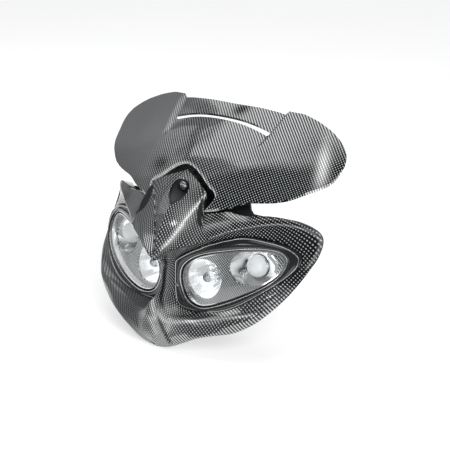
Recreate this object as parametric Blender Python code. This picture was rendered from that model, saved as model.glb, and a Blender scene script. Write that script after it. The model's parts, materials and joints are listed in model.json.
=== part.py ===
"""Twin headlight mask for a motorcycle: moulded front mask, flyscreen, two lens units with a main and an
auxiliary lamp each, black carrier and steel rear frame.

Frame: X to the viewer's right, Y to the back, Z up, in millimetres until a mesh is made (metres in the scene).
The object is mirror-symmetric about X = 0. The origin is the middle of the rear frame's mounting face.
"""

import math

import bpy
import bmesh
import numpy as np
from mathutils import Vector
from mathutils.bvhtree import BVHTree

# ---------------------------------------------------------------- driving dimensions (mm)
WALL = 2.4            # moulded shell of the front mask
SCREEN_T = 3.0        # flyscreen sheet
PANEL_DROP = 3.4      # how far the flyscreen's centre panel lies below the wings
SLOT_DROP = 1.8       # extra drop of the lower panel at the vent slot
GAP = 0.8             # clearance between neighbouring mouldings
LENS_RISE = 11.0      # how far a lens bulges out of its seat
LENS_T = 2.6
BEZEL_LIP = 3.2
MAIN = (40.0, -63.0)  # main lamp centre (X, Z)
MAIN_R = 22.5
AUX = (94.0, -43.5)   # auxiliary lamp centre (X, Z)
AUX_RX, AUX_RZ = 25.6, 19.0
REAR_Y = 48.5         # rear wall of the lamp housings
SKIRT = 7.0           # depth of the skirt round each lamp opening
PLATE_Y = 49.0        # front face of the steel frame
PLATE_T = 3.0
NOSE_Z = 36.3         # height of the nose screw
NOSE_BORE = 8.5       # half height of its oval recess
NOSE_BORE_X = 12.4    # half width
NOSE_TILT = math.radians(16)   # the nose screw points forward and down
ORIGIN = (0.0, PLATE_Y + PLATE_T, -55.0)


# ---------------------------------------------------------------- curve and surface helpers
def hermite(points, tangents, u):
    """Point at parameter u (0 .. n-1) of a Hermite curve with unit-spaced knots."""
    i = int(min(max(math.floor(u), 0), len(points) - 2))
    t = u - i
    a, b = points[i], points[i + 1]
    ta, tb = tangents[i], tangents[i + 1]
    return (
        a * (2 * t**3 - 3 * t**2 + 1)
        + b * (3 * t**2 - 2 * t**3)
        + ta * (t**3 - 2 * t**2 + t)
        + tb * (t**3 - t**2)
    )


def smooth_tangents(points, closed=False, corners=()):
    """Catmull-Rom tangents; a corner gets none of its neighbours' pull."""
    n = len(points)
    out = []
    for i in range(n):
        if i in corners:
            out.append(None)
        elif closed:
            last = points[i - 1] if i else points[n - 2]
            following = points[i + 1] if i < n - 1 else points[1]
            out.append((following - last) / 2)
        elif 0 < i < n - 1:
            out.append((points[i + 1] - points[i - 1]) / 2)
        else:
            out.append(None)
    return out


def curve(points, corners=(), closed=False):
    """A function of u through all the points, broken at the corners."""
    p = np.array(points, float)
    n = len(p)
    middle = smooth_tangents(p, closed, corners)

    def at(u):
        i = int(min(max(math.floor(u), 0), n - 2))
        chord = p[i + 1] - p[i]
        ta, tb = middle[i], middle[i + 1]
        # at a corner or an end the curve starts straight towards the next knot's tangent
        if ta is None and tb is None:
            ta = tb = chord
        elif ta is None:
            ta = (3 * chord - tb) / 2
        elif tb is None:
            tb = (3 * chord - ta) / 2
        t = u - i
        return (
            p[i] * (2 * t**3 - 3 * t**2 + 1)
            + p[i + 1] * (3 * t**2 - 2 * t**3)
            + ta * (t**3 - 2 * t**2 + t)
            + tb * (t**3 - t**2)
        )

    return at


def evenly(points, count, closed=True, fine=40):
    """The curve through the points, resampled to count points at equal arc length."""
    pts = list(points) + ([points[0]] if closed else [])
    at = curve(pts, closed=closed)
    us = np.linspace(0, len(pts) - 1, fine * (len(pts) - 1) + 1)
    dense = np.array([at(u) for u in us])
    length = np.concatenate([[0], np.cumsum(np.linalg.norm(np.diff(dense, axis=0), axis=1))])
    want = np.linspace(0, length[-1], count + 1)[:-1] if closed else np.linspace(0, length[-1], count)
    return np.stack([np.interp(want, length, dense[:, k]) for k in range(dense.shape[1])], 1)


def inset(loop, distance):
    """A closed flat loop moved inwards by a distance (the loop runs either way)."""
    nxt, last = np.roll(loop, -1, 0), np.roll(loop, 1, 0)
    along = nxt - last
    along /= np.linalg.norm(along, axis=1)[:, None]
    normal = np.stack([-along[:, 1], along[:, 0]], 1)
    x, z = loop[:, 0], loop[:, 1]
    area = 0.5 * np.sum(x * np.roll(z, -1) - np.roll(x, -1) * z)
    return loop + normal * distance * (1 if area > 0 else -1)


class Skin:
    """Gathers vertices and faces, and welds the points that fall together."""

    def __init__(self):
        self.verts, self.faces = [], []

    def grid(self, rows, flip=False, hole=None):
        """rows[i][j] are points; hole(i, j) leaves a face out."""
        base = len(self.verts)
        n, m = len(rows), len(rows[0])
        for row in rows:
            self.verts.extend([tuple(p) for p in row])
        for i in range(n - 1):
            for j in range(m - 1):
                if hole and hole(i, j):
                    continue
                a = base + i * m + j
                face = (a, a + 1, a + m + 1, a + m)
                self.faces.append(face[::-1] if flip else face)

    def ring(self, loops, close=False, flip=False):
        """Closed loops of equal length joined one after the other."""
        rows = [list(l) + [l[0]] for l in loops]
        if close:
            rows.append(rows[0])
        self.grid(rows, flip)

    def fan(self, loop, centre, flip=False):
        base = len(self.verts)
        self.verts.extend([tuple(p) for p in loop] + [tuple(centre)])
        c, n = base + len(loop), len(loop)
        for j in range(n):
            face = (base + j, base + (j + 1) % n, c)
            self.faces.append(face[::-1] if flip else face)

    def cap(self, loop, flip=False):
        """One flat face over a loop."""
        base = len(self.verts)
        self.verts.extend([tuple(p) for p in loop])
        face = tuple(range(base, base + len(loop)))
        self.faces.append(face[::-1] if flip else face)

    def mirrored(self):
        other = Skin()
        n = len(self.verts)
        other.verts = self.verts + [(-x, y, z) for x, y, z in self.verts]
        other.faces = self.faces + [tuple(n + v for v in f)[::-1] for f in self.faces]
        return other


MATERIALS = {}


def material(name, colour, roughness, metallic=0.0, transmission=0.0):
    if name not in MATERIALS:
        m = bpy.data.materials.new(name)
        m.use_nodes = True
        shader = m.node_tree.nodes["Principled BSDF"]
        shader.inputs["Base Color"].default_value = (*colour, 1)
        shader.inputs["Roughness"].default_value = roughness
        shader.inputs["Metallic"].default_value = metallic
        shader.inputs["Transmission Weight"].default_value = transmission
        m.diffuse_color = (*colour, 1)
        MATERIALS[name] = m
    return MATERIALS[name]


def carbon():
    return material("carbon_look", (0.045, 0.048, 0.05), 0.12)


def black():
    return material("black_plastic", (0.03, 0.032, 0.035), 0.55)


def clear():
    return material("clear_lens", (0.95, 0.96, 0.96), 0.03, 0.0, 1.0)


def chrome():
    return material("chrome", (0.85, 0.86, 0.87), 0.08, 1.0)


def steel():
    return material("black_steel", (0.05, 0.05, 0.055), 0.4, 0.8)


def zinc():
    return material("zinc_steel", (0.55, 0.56, 0.58), 0.3, 1.0)


def rubber():
    return material("rubber", (0.02, 0.02, 0.02), 0.8)


def glass():
    return material("bulb_glass", (0.9, 0.92, 0.94), 0.05, 0.0, 0.8)


def to_object(name, skin, mat, weld=0.02, smooth=40.0):
    """A mesh object from a skin in millimetres, at true place, its faces turned outward where it is closed."""
    mesh = bpy.data.meshes.new(name)
    pts = [((x - ORIGIN[0]) / 1000, (y - ORIGIN[1]) / 1000, (z - ORIGIN[2]) / 1000) for x, y, z in skin.verts]
    mesh.from_pydata(pts, [], skin.faces)
    bm = bmesh.new()
    bm.from_mesh(mesh)
    bmesh.ops.remove_doubles(bm, verts=bm.verts, dist=weld / 1000)
    bmesh.ops.dissolve_degenerate(bm, edges=bm.edges, dist=weld / 2000)
    if all(len(e.link_faces) == 2 for e in bm.edges):
        bmesh.ops.recalc_face_normals(bm, faces=bm.faces)
        if bm.calc_volume(signed=True) < 0:
            bmesh.ops.reverse_faces(bm, faces=bm.faces)
    bm.to_mesh(mesh)
    bm.free()
    mesh.shade_smooth()
    mesh.set_sharp_from_angle(angle=math.radians(smooth))
    obj = bpy.data.objects.new(name, mesh)
    bpy.context.scene.collection.objects.link(obj)
    obj.data.materials.append(mat)
    return obj


def turned(profile, centre, count=24):
    """A solid turned about an axis along Y through centre (X, Z); profile runs as (radius, Y), axis to axis."""
    skin = Skin()
    loops = []
    for r, y in profile:
        if r > 0:
            loops.append([
                (centre[0] + r * math.cos(2 * math.pi * k / count), y, centre[1] + r * math.sin(2 * math.pi * k / count))
                for k in range(count)
            ])
    if profile[0][0] == 0:
        skin.fan(loops[0], (centre[0], profile[0][1], centre[1]), flip=True)
    skin.ring(loops, close=profile[0][0] > 0)
    if profile[-1][0] == 0:
        skin.fan(loops[-1], (centre[0], profile[-1][1], centre[1]))
    return skin


def prism(outline, y0, y1):
    """A plate: an outline in X and Z between two Y planes."""
    skin = Skin()
    n = len(outline)
    front = [(x, y0, z) for x, z in outline]
    back = [(x, y1, z) for x, z in outline]
    skin.verts = front + back
    skin.faces = [tuple(range(n)), tuple(range(2 * n - 1, n - 1, -1))]
    skin.faces += [(j, n + j, n + (j + 1) % n, (j + 1) % n) for j in range(n)]
    return skin


def box(x0, x1, y0, y1, z0, z1):
    return prism([(x0, z0), (x1, z0), (x1, z1), (x0, z1)], y0, y1)


def circle(centre, r, count=24, rz=None):
    return [
        (centre[0] + r * math.cos(2 * math.pi * k / count), centre[1] + (rz or r) * math.sin(2 * math.pi * k / count))
        for k in range(count)
    ]


def cut(target, skin, name, operation="DIFFERENCE"):
    """A Boolean with a helper body that is kept out of the render."""
    helper = to_object(name, skin, black())
    helper.hide_render = True
    helper.display_type = "WIRE"
    mod = target.modifiers.new(name, "BOOLEAN")
    mod.operation = operation
    mod.solver = "EXACT"
    mod.object = helper
    return helper


# ---------------------------------------------------------------- lamp seat surface
def seat(x, z, off=0.0):
    """Y of the surface in which lens and bezel sit: it sweeps back to the outside and leans back at the top."""
    x = abs(x)
    lean = 0.0052 * (math.sqrt((x - 20) ** 2 + 100) + (x - 20)) / 2
    return -24.5 + 0.0019 * x * x + lean * (z + 55) + off


def on_seat(loop, off=0.0):
    return [(x, seat(x, z, off), z) for x, z in loop]


# ---------------------------------------------------------------- front mask sections (right half)
# Each station runs from the lamp opening over the rim of the eye to the outer edge:
# opening (X, Z), rim, middle of the outer face, outer edge (X, Y, Z).
STATIONS = [
    ((30, -99.5), (30, -47.5, -103.5), (19, -57, -127), (0, -51, -143)),       # 0 chin, lowest point
    ((22, -99.5), (22, -50, -102.5), (15.5, -58, -117), (0, -58, -133)),       # 1
    ((14.5, -98), (15.5, -52, -99.5), (11, -58, -106), (0, -59.5, -118)),      # 2 chin front
    ((9.8, -94.5), (11, -52, -93.5), (7.5, -54.5, -96), (0, -57, -103)),       # 3 lower inner corner of the eye
    ((7.2, -87), (7.5, -44, -86), (4.8, -46.5, -87), (0, -47.5, -89)),         # 4 foot of the bar
    ((6.2, -77), (5.5, -37, -76), (3.8, -39.5, -76), (0, -40.5, -76.5)),       # 5
    ((6.0, -62), (5.0, -35, -62), (3.5, -37, -62), (0, -38, -62)),             # 6 bar between the eyes
    ((6.5, -48), (5.5, -36, -49), (3.8, -38, -48.5), (0, -39, -48)),           # 7
    ((9.0, -43), (6.0, -42, -42), (3.5, -44.5, -41.5), (0, -46, -41.5)),       # 8 under the nose
    ((12, -40.5), (4.5, -54, -37), (1.8, -53.5, -37), (0, -55.5, -40)),        # 9 tip of the nose
    ((18, -36.5), (13, -53.5, -28.5), (6, -46, -27), (0, -51.5, -30)),         # 10
    ((25, -32), (22, -49.5, -23.5), (12, -37.5, -16), (0, -46.5, -13)),        # 11
    ((32, -28), (31, -44.5, -20), (18, -30, -4), (0, -38, 3)),                 # 12
    ((38, -25), (39, -40, -17.5), (23.5, -24.5, 7), (0, -22, 23)),             # 13
    ((43, -22), (45, -36.5, -15.5), (29, -18.5, 17), (0, 5, 52)),              # 14 top of the nose
    ((46, -20.5), (49.5, -33.5, -13.5), (34.2, -14.6, 25.4), (20.6, -1.8, 44)),  # 15
    ((49, -19), (53, -31, -12), (39.0, -11.4, 32.6), (40, -9.9, 35.4)),        # 16 shoulder corner
    ((52, -18), (56, -28.5, -10.5), (38, -18.5, 17), (37, -13.5, 23.5)),         # 17
    ((56, -16.5), (60, -26, -8.5), (43, -24.5, 2.5), (35, -16.5, 11.5)),         # 18 foot of the shoulder
    ((62, -14), (66, -21.5, -5.5), (57, -19.5, 5), (52, -10.5, 15)),           # 19
    ((69, -12), (73, -17, -2), (69, -12.5, 9), (66, -4, 18)),                  # 20 fold of the brow
    ((78, -9.5), (82, -11, 1.5), (80, -5.5, 10), (84, 3, 14.5)),               # 21
    ((90, -9), (93, -1.5, 4), (93, 3, 12), (97, 9, 16)),                       # 22
    ((102, -11), (105, 7.5, 7), (106, 11, 13.5), (109, 16, 16)),               # 23 crest
    ((114, -13.5), (118, 18.5, 8), (119, 21, 13), (121, 26, 13.5)),            # 24
    ((125, -17), (131, 32, 4.5), (132, 34, 9), (133, 38, 9)),                  # 25
    ((134, -21.5), (142, 44, -1.5), (143, 46, 2), (144, 49, 1)),               # 26
    ((140, -26.5), (149.5, 52, -12.5), (150.5, 53, -11), (151.5, 54, -11.5)),  # 27 ear
    ((142, -31.5), (150, 45, -26), (151.5, 46, -26.5), (152, 48, -26)),        # 28
    ((141, -39.5), (146.5, 33, -39), (148.5, 34.5, -40), (149, 37, -40)),      # 29
    ((134.5, -49), (141, 19.5, -53), (143.2, 20.5, -54.5), (143.5, 23.5, -55)),  # 30
    ((124, -59), (134, 5, -66), (136.3, 5.5, -68.5), (136.8, 8.5, -69.5)),     # 31
    ((111, -69.5), (123.5, -9, -77.5), (125.5, -9.5, -81.5), (126.5, -5, -84)),  # 32
    ((96.5, -80), (111, -20, -86), (112, -23, -93), (112, -17, -99)),            # 33
    ((81, -88.5), (95, -26.5, -91), (95, -32, -101), (94, -29, -110)),         # 34
    ((67, -93.5), (79, -30, -96), (78, -40, -106), (77, -39.5, -114)),         # 35
    ((54, -96), (63, -34.5, -100), (61, -46, -110.5), (59, -48, -119)),        # 36
    ((43, -98.3), (49, -39.5, -103), (46, -51.5, -114.5), (41, -52, -128)),    # 37
    ((36, -99), (39, -44, -104), (32, -55.5, -121), (21, -53.5, -137.5)),      # 38
]
STATIONS.append(STATIONS[0])
RETURN = [  # station, then how far the rear edge lies from the outer edge (X, Y, Z)
    (14, 0, 6, -4), (15, -3, 6, -6), (16, -4, 6, -8), (17, -6, 7, -4), (18, -2, 9, -5), (20, -2, 12, -7), (23, -1, 11, -5),
    (26, -9, 12, -5), (27, -12, 13, -3), (30, -14, 15, 2), (32, -15, 17, 5), (34, -8, 21, 6), (36, 0, 26, 6), (39, 0, 30, 7),
]
CREASE = [  # station, then how smoothly the outer face runs through its middle line (1 smooth, 0 creased)
    (0, 0.5), (3, 0.4), (6, 1), (9, 0.3), (10, 0), (16, 0), (18, 0.6), (20, 1), (36, 1), (39, 0.5),
]
EDGE = [  # the same for the outer edge, where the rear return starts
    (14, 0), (21, 0.1), (23, 0.7), (27, 0.7), (30, 1), (36, 1), (39, 0),
]
LIP = [(0, 1.2), (3, 0.8), (4, 0.3), (9, 0.3), (10, 1.0), (12, 1.8), (22, 1.4), (26, 0.6), (31, 0.6), (34, 1.4), (39, 1.2)]
HOLLOW = [  # station, then how far the recess wall sags behind the straight line from rim to opening (X, Y, Z)
    (0, 0, 3, -1.5), (3, 0, 2, 0), (5, 0, 0, 0), (9, 0, 1, 1), (12, 0, 2, 2.5), (22, 0, 2, 3), (26, 0, 2, 2), (30, 0, 1.5, 0), (35, 0, 3, -2), (39, 0, 3, -1.5),
]


def from_table(table, u):
    keys = [row[0] for row in table]
    return np.array([np.interp(u, keys, [row[k] for row in table]) for k in range(1, len(table[0]))])


def mask_levels():
    opening = curve([s[0] for s in STATIONS], closed=True)
    rim = curve([s[1] for s in STATIONS], closed=True)
    middle = curve([s[2] for s in STATIONS], corners=(9, 16), closed=True)
    outer = curve([s[3] for s in STATIONS], corners=(0, 3, 9, 14, 16, 18, 20, 39))
    return opening, rim, middle, outer


def mask_half(per_station=1, wall_steps=1, lip_steps=1, face_steps=2, return_steps=2):
    """The visible skin of the right half, from the opening to the rear edge."""
    opening, rim, middle, outer = mask_levels()
    skin = Skin()
    count = (len(STATIONS) - 1) * per_station
    rows, back = [], []
    for j in range(count + 1):
        u = j / per_station
        x, z = opening(u)
        o = np.array([x, seat(x, z, 1.5), z])
        r, m, b = rim(u), middle(u), outer(u)
        if u <= 14 or u >= 39:
            b[0] = 0.0
        wall = (o + r) / 2 + from_table(HOLLOW, u)
        l = r + 0.3 * (m - r) + np.array([0, -from_table(LIP, u)[0], 0])
        crease = from_table(CREASE, u)[0]
        edge = from_table(EDGE, u)[0] if u >= 14 else 0.0
        t = b + (from_table(RETURN, u) if u >= 14 else np.zeros(3))
        line = [np.array([x, seat(x, z, SKIRT), z])]
        bend = curve([o, wall, r])
        for k in range(wall_steps * 2 + 1):
            line.append(bend(k / wall_steps))
        knots = [r, l, m, b]
        tangents = [(l - r) * 1.2, (m - r) / 2, (b - l) / 2 * crease, (b - m) * (1 - edge) + edge * (t - m) / 2]
        if u < 14:
            tangents[3] = (b - m)
        if crease < 0.05:
            tangents[2] = np.zeros(3)
        for seg, steps in enumerate((lip_steps, face_steps, face_steps)):
            for k in range(1, steps + 1):
                v = seg + k / steps
                if seg == 2 and crease < 0.05:
                    line.append(m + (b - m) * (k / steps))
                else:
                    line.append(hermite(knots, tangents, v))
        rows.append(line)
        if u >= 14:
            knots = [b, t]
            tangents = [(t - b) * (1 - edge) + edge * (t - m) / 2, (t - b)]
            if u >= 39:
                tangents = [np.array([0, *d[1:]]) for d in tangents]   # stays in the mirror plane
            back.append([hermite(knots, tangents, k / return_steps) for k in range(return_steps + 1)])
    skin.grid(rows, flip=True)
    skin.grid(back, flip=True)
    return skin


# ---------------------------------------------------------------- flyscreen
SCREEN_Y = (-15, 5, 30, 60, 92)
SCREEN_X = (0, 40, 80, 120, 164)
SCREEN_Z = (  # height of the sheet's top face at those stations, one row for each X
    (22, 61.5, 85, 102, 115.5),
    (15, 48, 77, 98, 116),
    (0, 34, 61, 85, 114),
    (-6, 22, 44, 67, 104),
    (8, 26, 39, 55, 91),
)


def spline_1d(keys, values, at):
    """Catmull-Rom through unevenly spaced keys."""
    keys, values = list(keys), [float(v) for v in values]
    n = len(keys)
    slopes = []
    for i in range(n):
        a, b = max(i - 1, 0), min(i + 1, n - 1)
        slopes.append((values[b] - values[a]) / (keys[b] - keys[a]))
    i = 0
    while i < n - 2 and at > keys[i + 1]:
        i += 1
    h = keys[i + 1] - keys[i]
    t = (at - keys[i]) / h
    if t < 0 or t > 1:
        end = 0 if t < 0 else n - 1
        return values[end] + slopes[end] * (at - keys[end])
    return (
        values[i] * (2 * t**3 - 3 * t**2 + 1)
        + values[i + 1] * (3 * t**2 - 2 * t**3)
        + slopes[i] * h * (t**3 - 2 * t**2 + t)
        + slopes[i + 1] * h * (t**3 - t**2)
    )


def screen_height(x, y):
    x = abs(x)
    column = [spline_1d(SCREEN_Y, row, y) for row in SCREEN_Z]
    keys = [-40.0] + list(SCREEN_X)          # the sheet is symmetric, so its crown is level
    return spline_1d(keys, [column[1]] + column, x)


# plan view (X, Y) of the right half: lower edge from the notch's roof to the wing tip, a guide line behind it,
# and the upper edge. Lines 7 and 8 carry the step between centre panel and wing.
SCREEN_LINES = [
    ((0, 4), (0, 12), (0, 92)),
    ((12, 3.2), (12.5, 11.5), (15, 92)),
    ((24, 1.4), (25, 10), (30, 91.8)),
    ((36, -1.2), (38, 8.2), (44, 91.5)),
    ((44, -2.2), (47.5, 6), (55, 91)),
    ((47.5, -4.6), (52, 3), (63, 90.7)),
    ((44.5, -9.5), (53.5, -1), (69, 90.4)),
    ((40, -14.5), (54, -5), (72.5, 90.3)),          # 7 point of the tooth; foot of the step
    ((49, -11.8), (58.5, -3), (76.5, 91.6)),          # 8 top of the step, corner of the wing
    ((60, -7.5), (67, 1), (85, 92.6)),
    ((72, -3), (77.5, 6), (94, 94)),
    ((86, 3.5), (90.5, 12), (104, 94.2)),
    ((101, 9.5), (104, 18), (115, 94)),
    ((115, 16), (117, 25), (126, 93)),
    ((128, 23.5), (128.5, 33), (137, 91.5)),
    ((140, 33.5), (139, 42.5), (147, 89)),
    ((151, 45), (149.5, 52.5), (155.5, 85.5)),
    ((159.5, 58), (157.5, 62.5), (161, 80.5)),
    ((163, 73.5), (163, 74), (163, 74.5)),
]
SCREEN_LEVELS = (None, 20, 30, 41, 53, 64.8, 68.8, 79, None)   # Y of the rows behind the guide line
SLOT_ROWS = (5, 6)
STEP_FOOT, STEP_TOP = 7, 8


def screen_row_share(k, gy, hy, u):
    """Where row k cuts the line from guide (Y gy) to upper edge (Y hy)."""
    level = SCREEN_LEVELS[k]
    if level is None:
        return 0.0 if k == 0 else 1.0
    plain = (level - 10) / 82
    exact = (level - gy) / (hy - gy) if hy - gy > 1 else plain
    w = min(max((u - 9) / 5, 0), 1)
    return exact * (1 - w) + plain * w


def screen_drop(u, y, k):
    """How far the sheet lies below the wings' surface on line u, row k (may be a fraction)."""
    foot = min(max(STEP_TOP - u, 0.0), 1.0)
    fade = min(max((y - 27) / 38.0, 0.0), 1.0)
    depth = PANEL_DROP * fade * fade * (3 - 2 * fade)
    if k <= SLOT_ROWS[0] + 0.001:
        near = min(max((y - 43) / 21.8, 0.0), 1.0)
        depth += SLOT_DROP * near * near * min(max(STEP_FOOT - u, 0.0), 1.0)
    return depth * foot


def screen_half(columns=1, steps=1):
    """Top face of the right half, with the vent slot left open."""
    low = curve([s[0] for s in SCREEN_LINES], corners=(7,))
    guide = curve([s[1] for s in SCREEN_LINES])
    high = curve([s[2] for s in SCREEN_LINES], corners=(8,))
    count = (len(SCREEN_LINES) - 1) * columns
    skin, rows = Skin(), []
    last = len(SCREEN_LEVELS) - 1
    ks = [i / steps for i in range(last * steps + 1)]
    for j in range(count + 1):
        u = j / columns
        a, g, h = low(u), guide(u), high(u)
        line = [(a[0], a[1], screen_height(a[0], a[1]))]
        for i in range(1, steps):
            p = a + (g - a) * i / steps
            line.append((p[0], p[1], screen_height(p[0], p[1])))
        for k in ks:
            k0 = min(int(k), last - 1)
            s0, s1 = screen_row_share(k0, g[1], h[1], u), screen_row_share(k0 + 1, g[1], h[1], u)
            share = s0 + (s1 - s0) * (k - k0)
            p = g + (h - g) * share
            line.append((p[0], p[1], screen_height(p[0], p[1]) - screen_drop(u, p[1], k)))
        rows.append(line)

    def open_slot(i, j):
        k = (j - steps) / steps
        return i / columns < STEP_FOOT - 0.01 and SLOT_ROWS[0] - 0.001 <= k < SLOT_ROWS[1] - 0.001

    skin.grid(rows, flip=True, hole=open_slot)
    return skin


# ---------------------------------------------------------------- lens unit (right-hand one; the left is its mirror)
LENS = [(17, -77), (14, -63), (18, -49), (31, -37), (47, -30), (64, -25.5), (82, -22), (98, -20.5), (112, -21), (122, -23.5), (129, -29.5), (130.5, -38), (126, -49), (113, -61), (92, -74), (70, -85), (50, -92.5), (35, -93), (24, -88)]


def bezel_outline(count):
    flat = evenly([s[0] for s in STATIONS[:-1]], count)
    return inset(flat, GAP)


def lens_outline(count):
    """The lens edge, its points matched by direction to those of the bezel's outline."""
    outer = bezel_outline(count)
    dense = evenly(LENS, 720)
    start = int(np.argmin([np.hypot(*(p - outer[0])) for p in dense]))
    area = lambda q: np.sum(q[:, 0] * np.roll(q[:, 1], -1) - np.roll(q[:, 0], -1) * q[:, 1])
    if area(dense) * area(outer) < 0:
        dense = dense[::-1]
        start = len(dense) - 1 - start
    dense = np.roll(dense, -start, 0)
    return dense[:: 720 // count][:count]


def bezel_skin(count=30):
    outer, inner = bezel_outline(count), inset(lens_outline(count), -0.5)
    skin = Skin()

    def loop(share, off):
        flat = inner + (outer - inner) * share
        return on_seat(flat, off)

    skin.ring([loop(0, -BEZEL_LIP), loop(0.35, -BEZEL_LIP - 0.6), loop(0.8, -1.6), loop(1, 0.6), loop(1, 7), loop(0, 7)], close=True)
    return skin


def lens_skin(count=30, rings=4):
    edge = lens_outline(count)
    centre = np.array([73.0, -56.0])
    skin = Skin()

    def dome(flat, share, off, rise):
        return [(x, seat(x, z, off - rise * (1 - share**3.0)), z) for x, z in flat]

    shares = [1 - k / rings for k in range(rings)]
    front = [dome(centre + (edge - centre) * s, s, -1.0, LENS_RISE) for s in shares]
    rear = [dome(centre + (inset(edge, LENS_T) - centre) * s, s, -1.0 + LENS_T * 0.7, LENS_RISE - 0.6) for s in shares]
    rear_edge = on_seat(inset(edge, LENS_T), 4.0)
    side = on_seat(edge, 4.0)
    skin.fan(front[-1], (centre[0], seat(*centre, -1.0 - LENS_RISE), centre[1]))
    skin.ring(front[::-1] + [side, rear_edge] + rear)
    skin.fan(rear[-1], (centre[0], seat(*centre, -1.0 + LENS_T * 0.7 - LENS_RISE + 0.6), centre[1]), flip=True)
    return skin


def seal_skin(count=30):
    edge = lens_outline(count)
    outer, inner = inset(edge, 0.2), inset(edge, 3.0)
    skin = Skin()
    skin.ring([on_seat(outer, 4.3), on_seat(inner, 4.3), on_seat(inner, 6.2), on_seat(outer, 6.2)], close=True)
    return skin


def panel_skin(count=30):
    """Decor panel behind the lens: a curved plate, its openings cut afterwards."""
    edge = inset(lens_outline(count), 0.6)
    centre = np.array([73.0, -56.0])
    skin = Skin()
    shares = (1, 0.7, 0.35)
    front = [on_seat(centre + (edge - centre) * s, 6.6) for s in shares]
    rear = [on_seat(centre + (edge - centre) * s, 8.6) for s in shares]
    skin.fan(front[-1], (centre[0], seat(*centre, 6.6), centre[1]))
    skin.ring(front[::-1] + rear)
    skin.fan(rear[-1], (centre[0], seat(*centre, 8.6), centre[1]), flip=True)
    return skin


def reflector_skin(centre, rx, rz, depth_y, hole, count=18, rings=3, wall=1.4, front=9.6):
    """A bowl whose rim follows the seat surface and whose floor has a round hole for the bulb."""
    skin = Skin()

    def loop(share, extra):
        out = []
        for k in range(count):
            c, s = math.cos(2 * math.pi * k / count), math.sin(2 * math.pi * k / count)
            x0, z0 = centre[0] + (rx + extra) * c, centre[1] + (rz + extra) * s
            rim = seat(x0, z0, front)
            hx, hz = centre[0] + (hole + extra) * c, centre[1] + (hole + extra) * s
            x, z = hx + (x0 - hx) * share, hz + (z0 - hz) * share
            y = depth_y + extra + (rim - depth_y - extra) * share**2
            out.append((x, y, z))
        return out

    shares = [k / rings for k in range(rings + 1)]
    skin.ring([loop(s, 0) for s in shares] + [loop(s, wall) for s in shares[::-1]], close=True)
    return skin


def housing_skin(count=30):
    """Open-fronted bucket behind the bezel."""
    rim = bezel_outline(count)
    centre = np.array([70.0, -57.0])
    wall = 1.7

    def back_loop(extra, y):
        flat = centre + (inset(rim, extra) - centre) * 0.8
        return [(x, y, z) for x, z in flat]

    def mid_loop(extra, k):
        flat = centre + (inset(rim, extra) - centre) * (0.975 - 0.04 * k)
        return [(x, seat(x, z, 8) * (1 - 0.45 * k) + REAR_Y * 0.45 * k, z) for x, z in flat]

    skin = Skin()
    flange = [on_seat(inset(rim, 0.8 + wall), 7.8), on_seat(inset(rim, -0.9), 7.8), on_seat(inset(rim, -0.9), 9.6), on_seat(inset(rim, 0.4), 9.6)]
    outside = [mid_loop(0.8, 1), back_loop(0.8, REAR_Y)]
    inside = [mid_loop(0.8 + wall, 1), back_loop(0.8 + wall, REAR_Y - wall)]
    skin.cap(outside[-1])
    skin.ring(outside[::-1] + flange[::-1] + inside)
    skin.cap(inside[-1], flip=True)
    return skin


# ---------------------------------------------------------------- carrier, frame and fasteners
def prism_x(outline, x0, x1):
    """A rib: an outline in Y and Z between two X planes."""
    skin = Skin()
    n = len(outline)
    skin.verts = [(x0, y, z) for y, z in outline] + [(x1, y, z) for y, z in outline]
    skin.faces = [tuple(range(n)), tuple(range(2 * n - 1, n - 1, -1))]
    skin.faces += [(j, n + j, n + (j + 1) % n, (j + 1) % n) for j in range(n)]
    return skin


def plate_z(outline, z0, z1):
    """A level plate: an outline in X and Y between two heights."""
    skin = Skin()
    n = len(outline)
    skin.verts = [(x, y, z0) for x, y in outline] + [(x, y, z1) for x, y in outline]
    skin.faces = [tuple(range(n)), tuple(range(2 * n - 1, n - 1, -1))]
    skin.faces += [(j, n + j, n + (j + 1) % n, (j + 1) % n) for j in range(n)]
    return skin


def tilted(skin, angle, pivot):
    """The skin turned about an X axis through pivot (Y, Z)."""
    out = Skin()
    c, s = math.cos(angle), math.sin(angle)
    out.verts = [
        (x, pivot[0] + (y - pivot[0]) * c - (z - pivot[1]) * s, pivot[1] + (y - pivot[0]) * s + (z - pivot[1]) * c)
        for x, y, z in skin.verts
    ]
    out.faces = list(skin.faces)
    return out


def upright(profile, x, y, count=16):
    """A solid turned about a vertical axis; profile runs as (radius, Z)."""
    flat = turned([(r, z) for r, z in profile], (0, 0), count)
    out = Skin()
    out.verts = [(x + a, y + b, h) for a, h, b in flat.verts]
    out.faces = [f[::-1] for f in flat.faces]
    return out


NOSE_PIVOT = (4.6, NOSE_Z)      # rear face of the nose plug on the screw's axis (Y, Z)
NOSE_FLOOR = 4.7                # thickness of the bore's floor


def nose_plug(bvh):
    """Solid plug behind the nose skin, its front just under the outer face; the bore is cut from it."""
    count, wide, high, top = 24, NOSE_BORE_X + WALL, NOSE_BORE + WALL, 9.6
    c, s = math.cos(NOSE_TILT), math.sin(NOSE_TILT)
    forward = Vector((0, -c, -s))
    up = Vector((0, -s, c))
    base = Vector((0, NOSE_PIVOT[0], NOSE_PIVOT[1]))

    def depth(start):
        hit = bvh.ray_cast(start, forward)
        return hit[3] if hit[0] is not None else 12.0

    rear, front = [], []
    for k in range(count):
        a = 2 * math.pi * k / count
        p = base + Vector((1, 0, 0)) * wide * math.cos(a) + up * min(high * math.sin(a), top)
        rear.append(tuple(p))
        front.append(tuple(p + forward * max(depth(p) - 1.2, 0.3)))
    skin = Skin()
    skin.fan(rear, tuple(base), flip=True)
    skin.ring([rear, front])
    skin.fan(front, tuple(base + forward * (depth(base) - 1.6)))
    return skin


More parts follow.
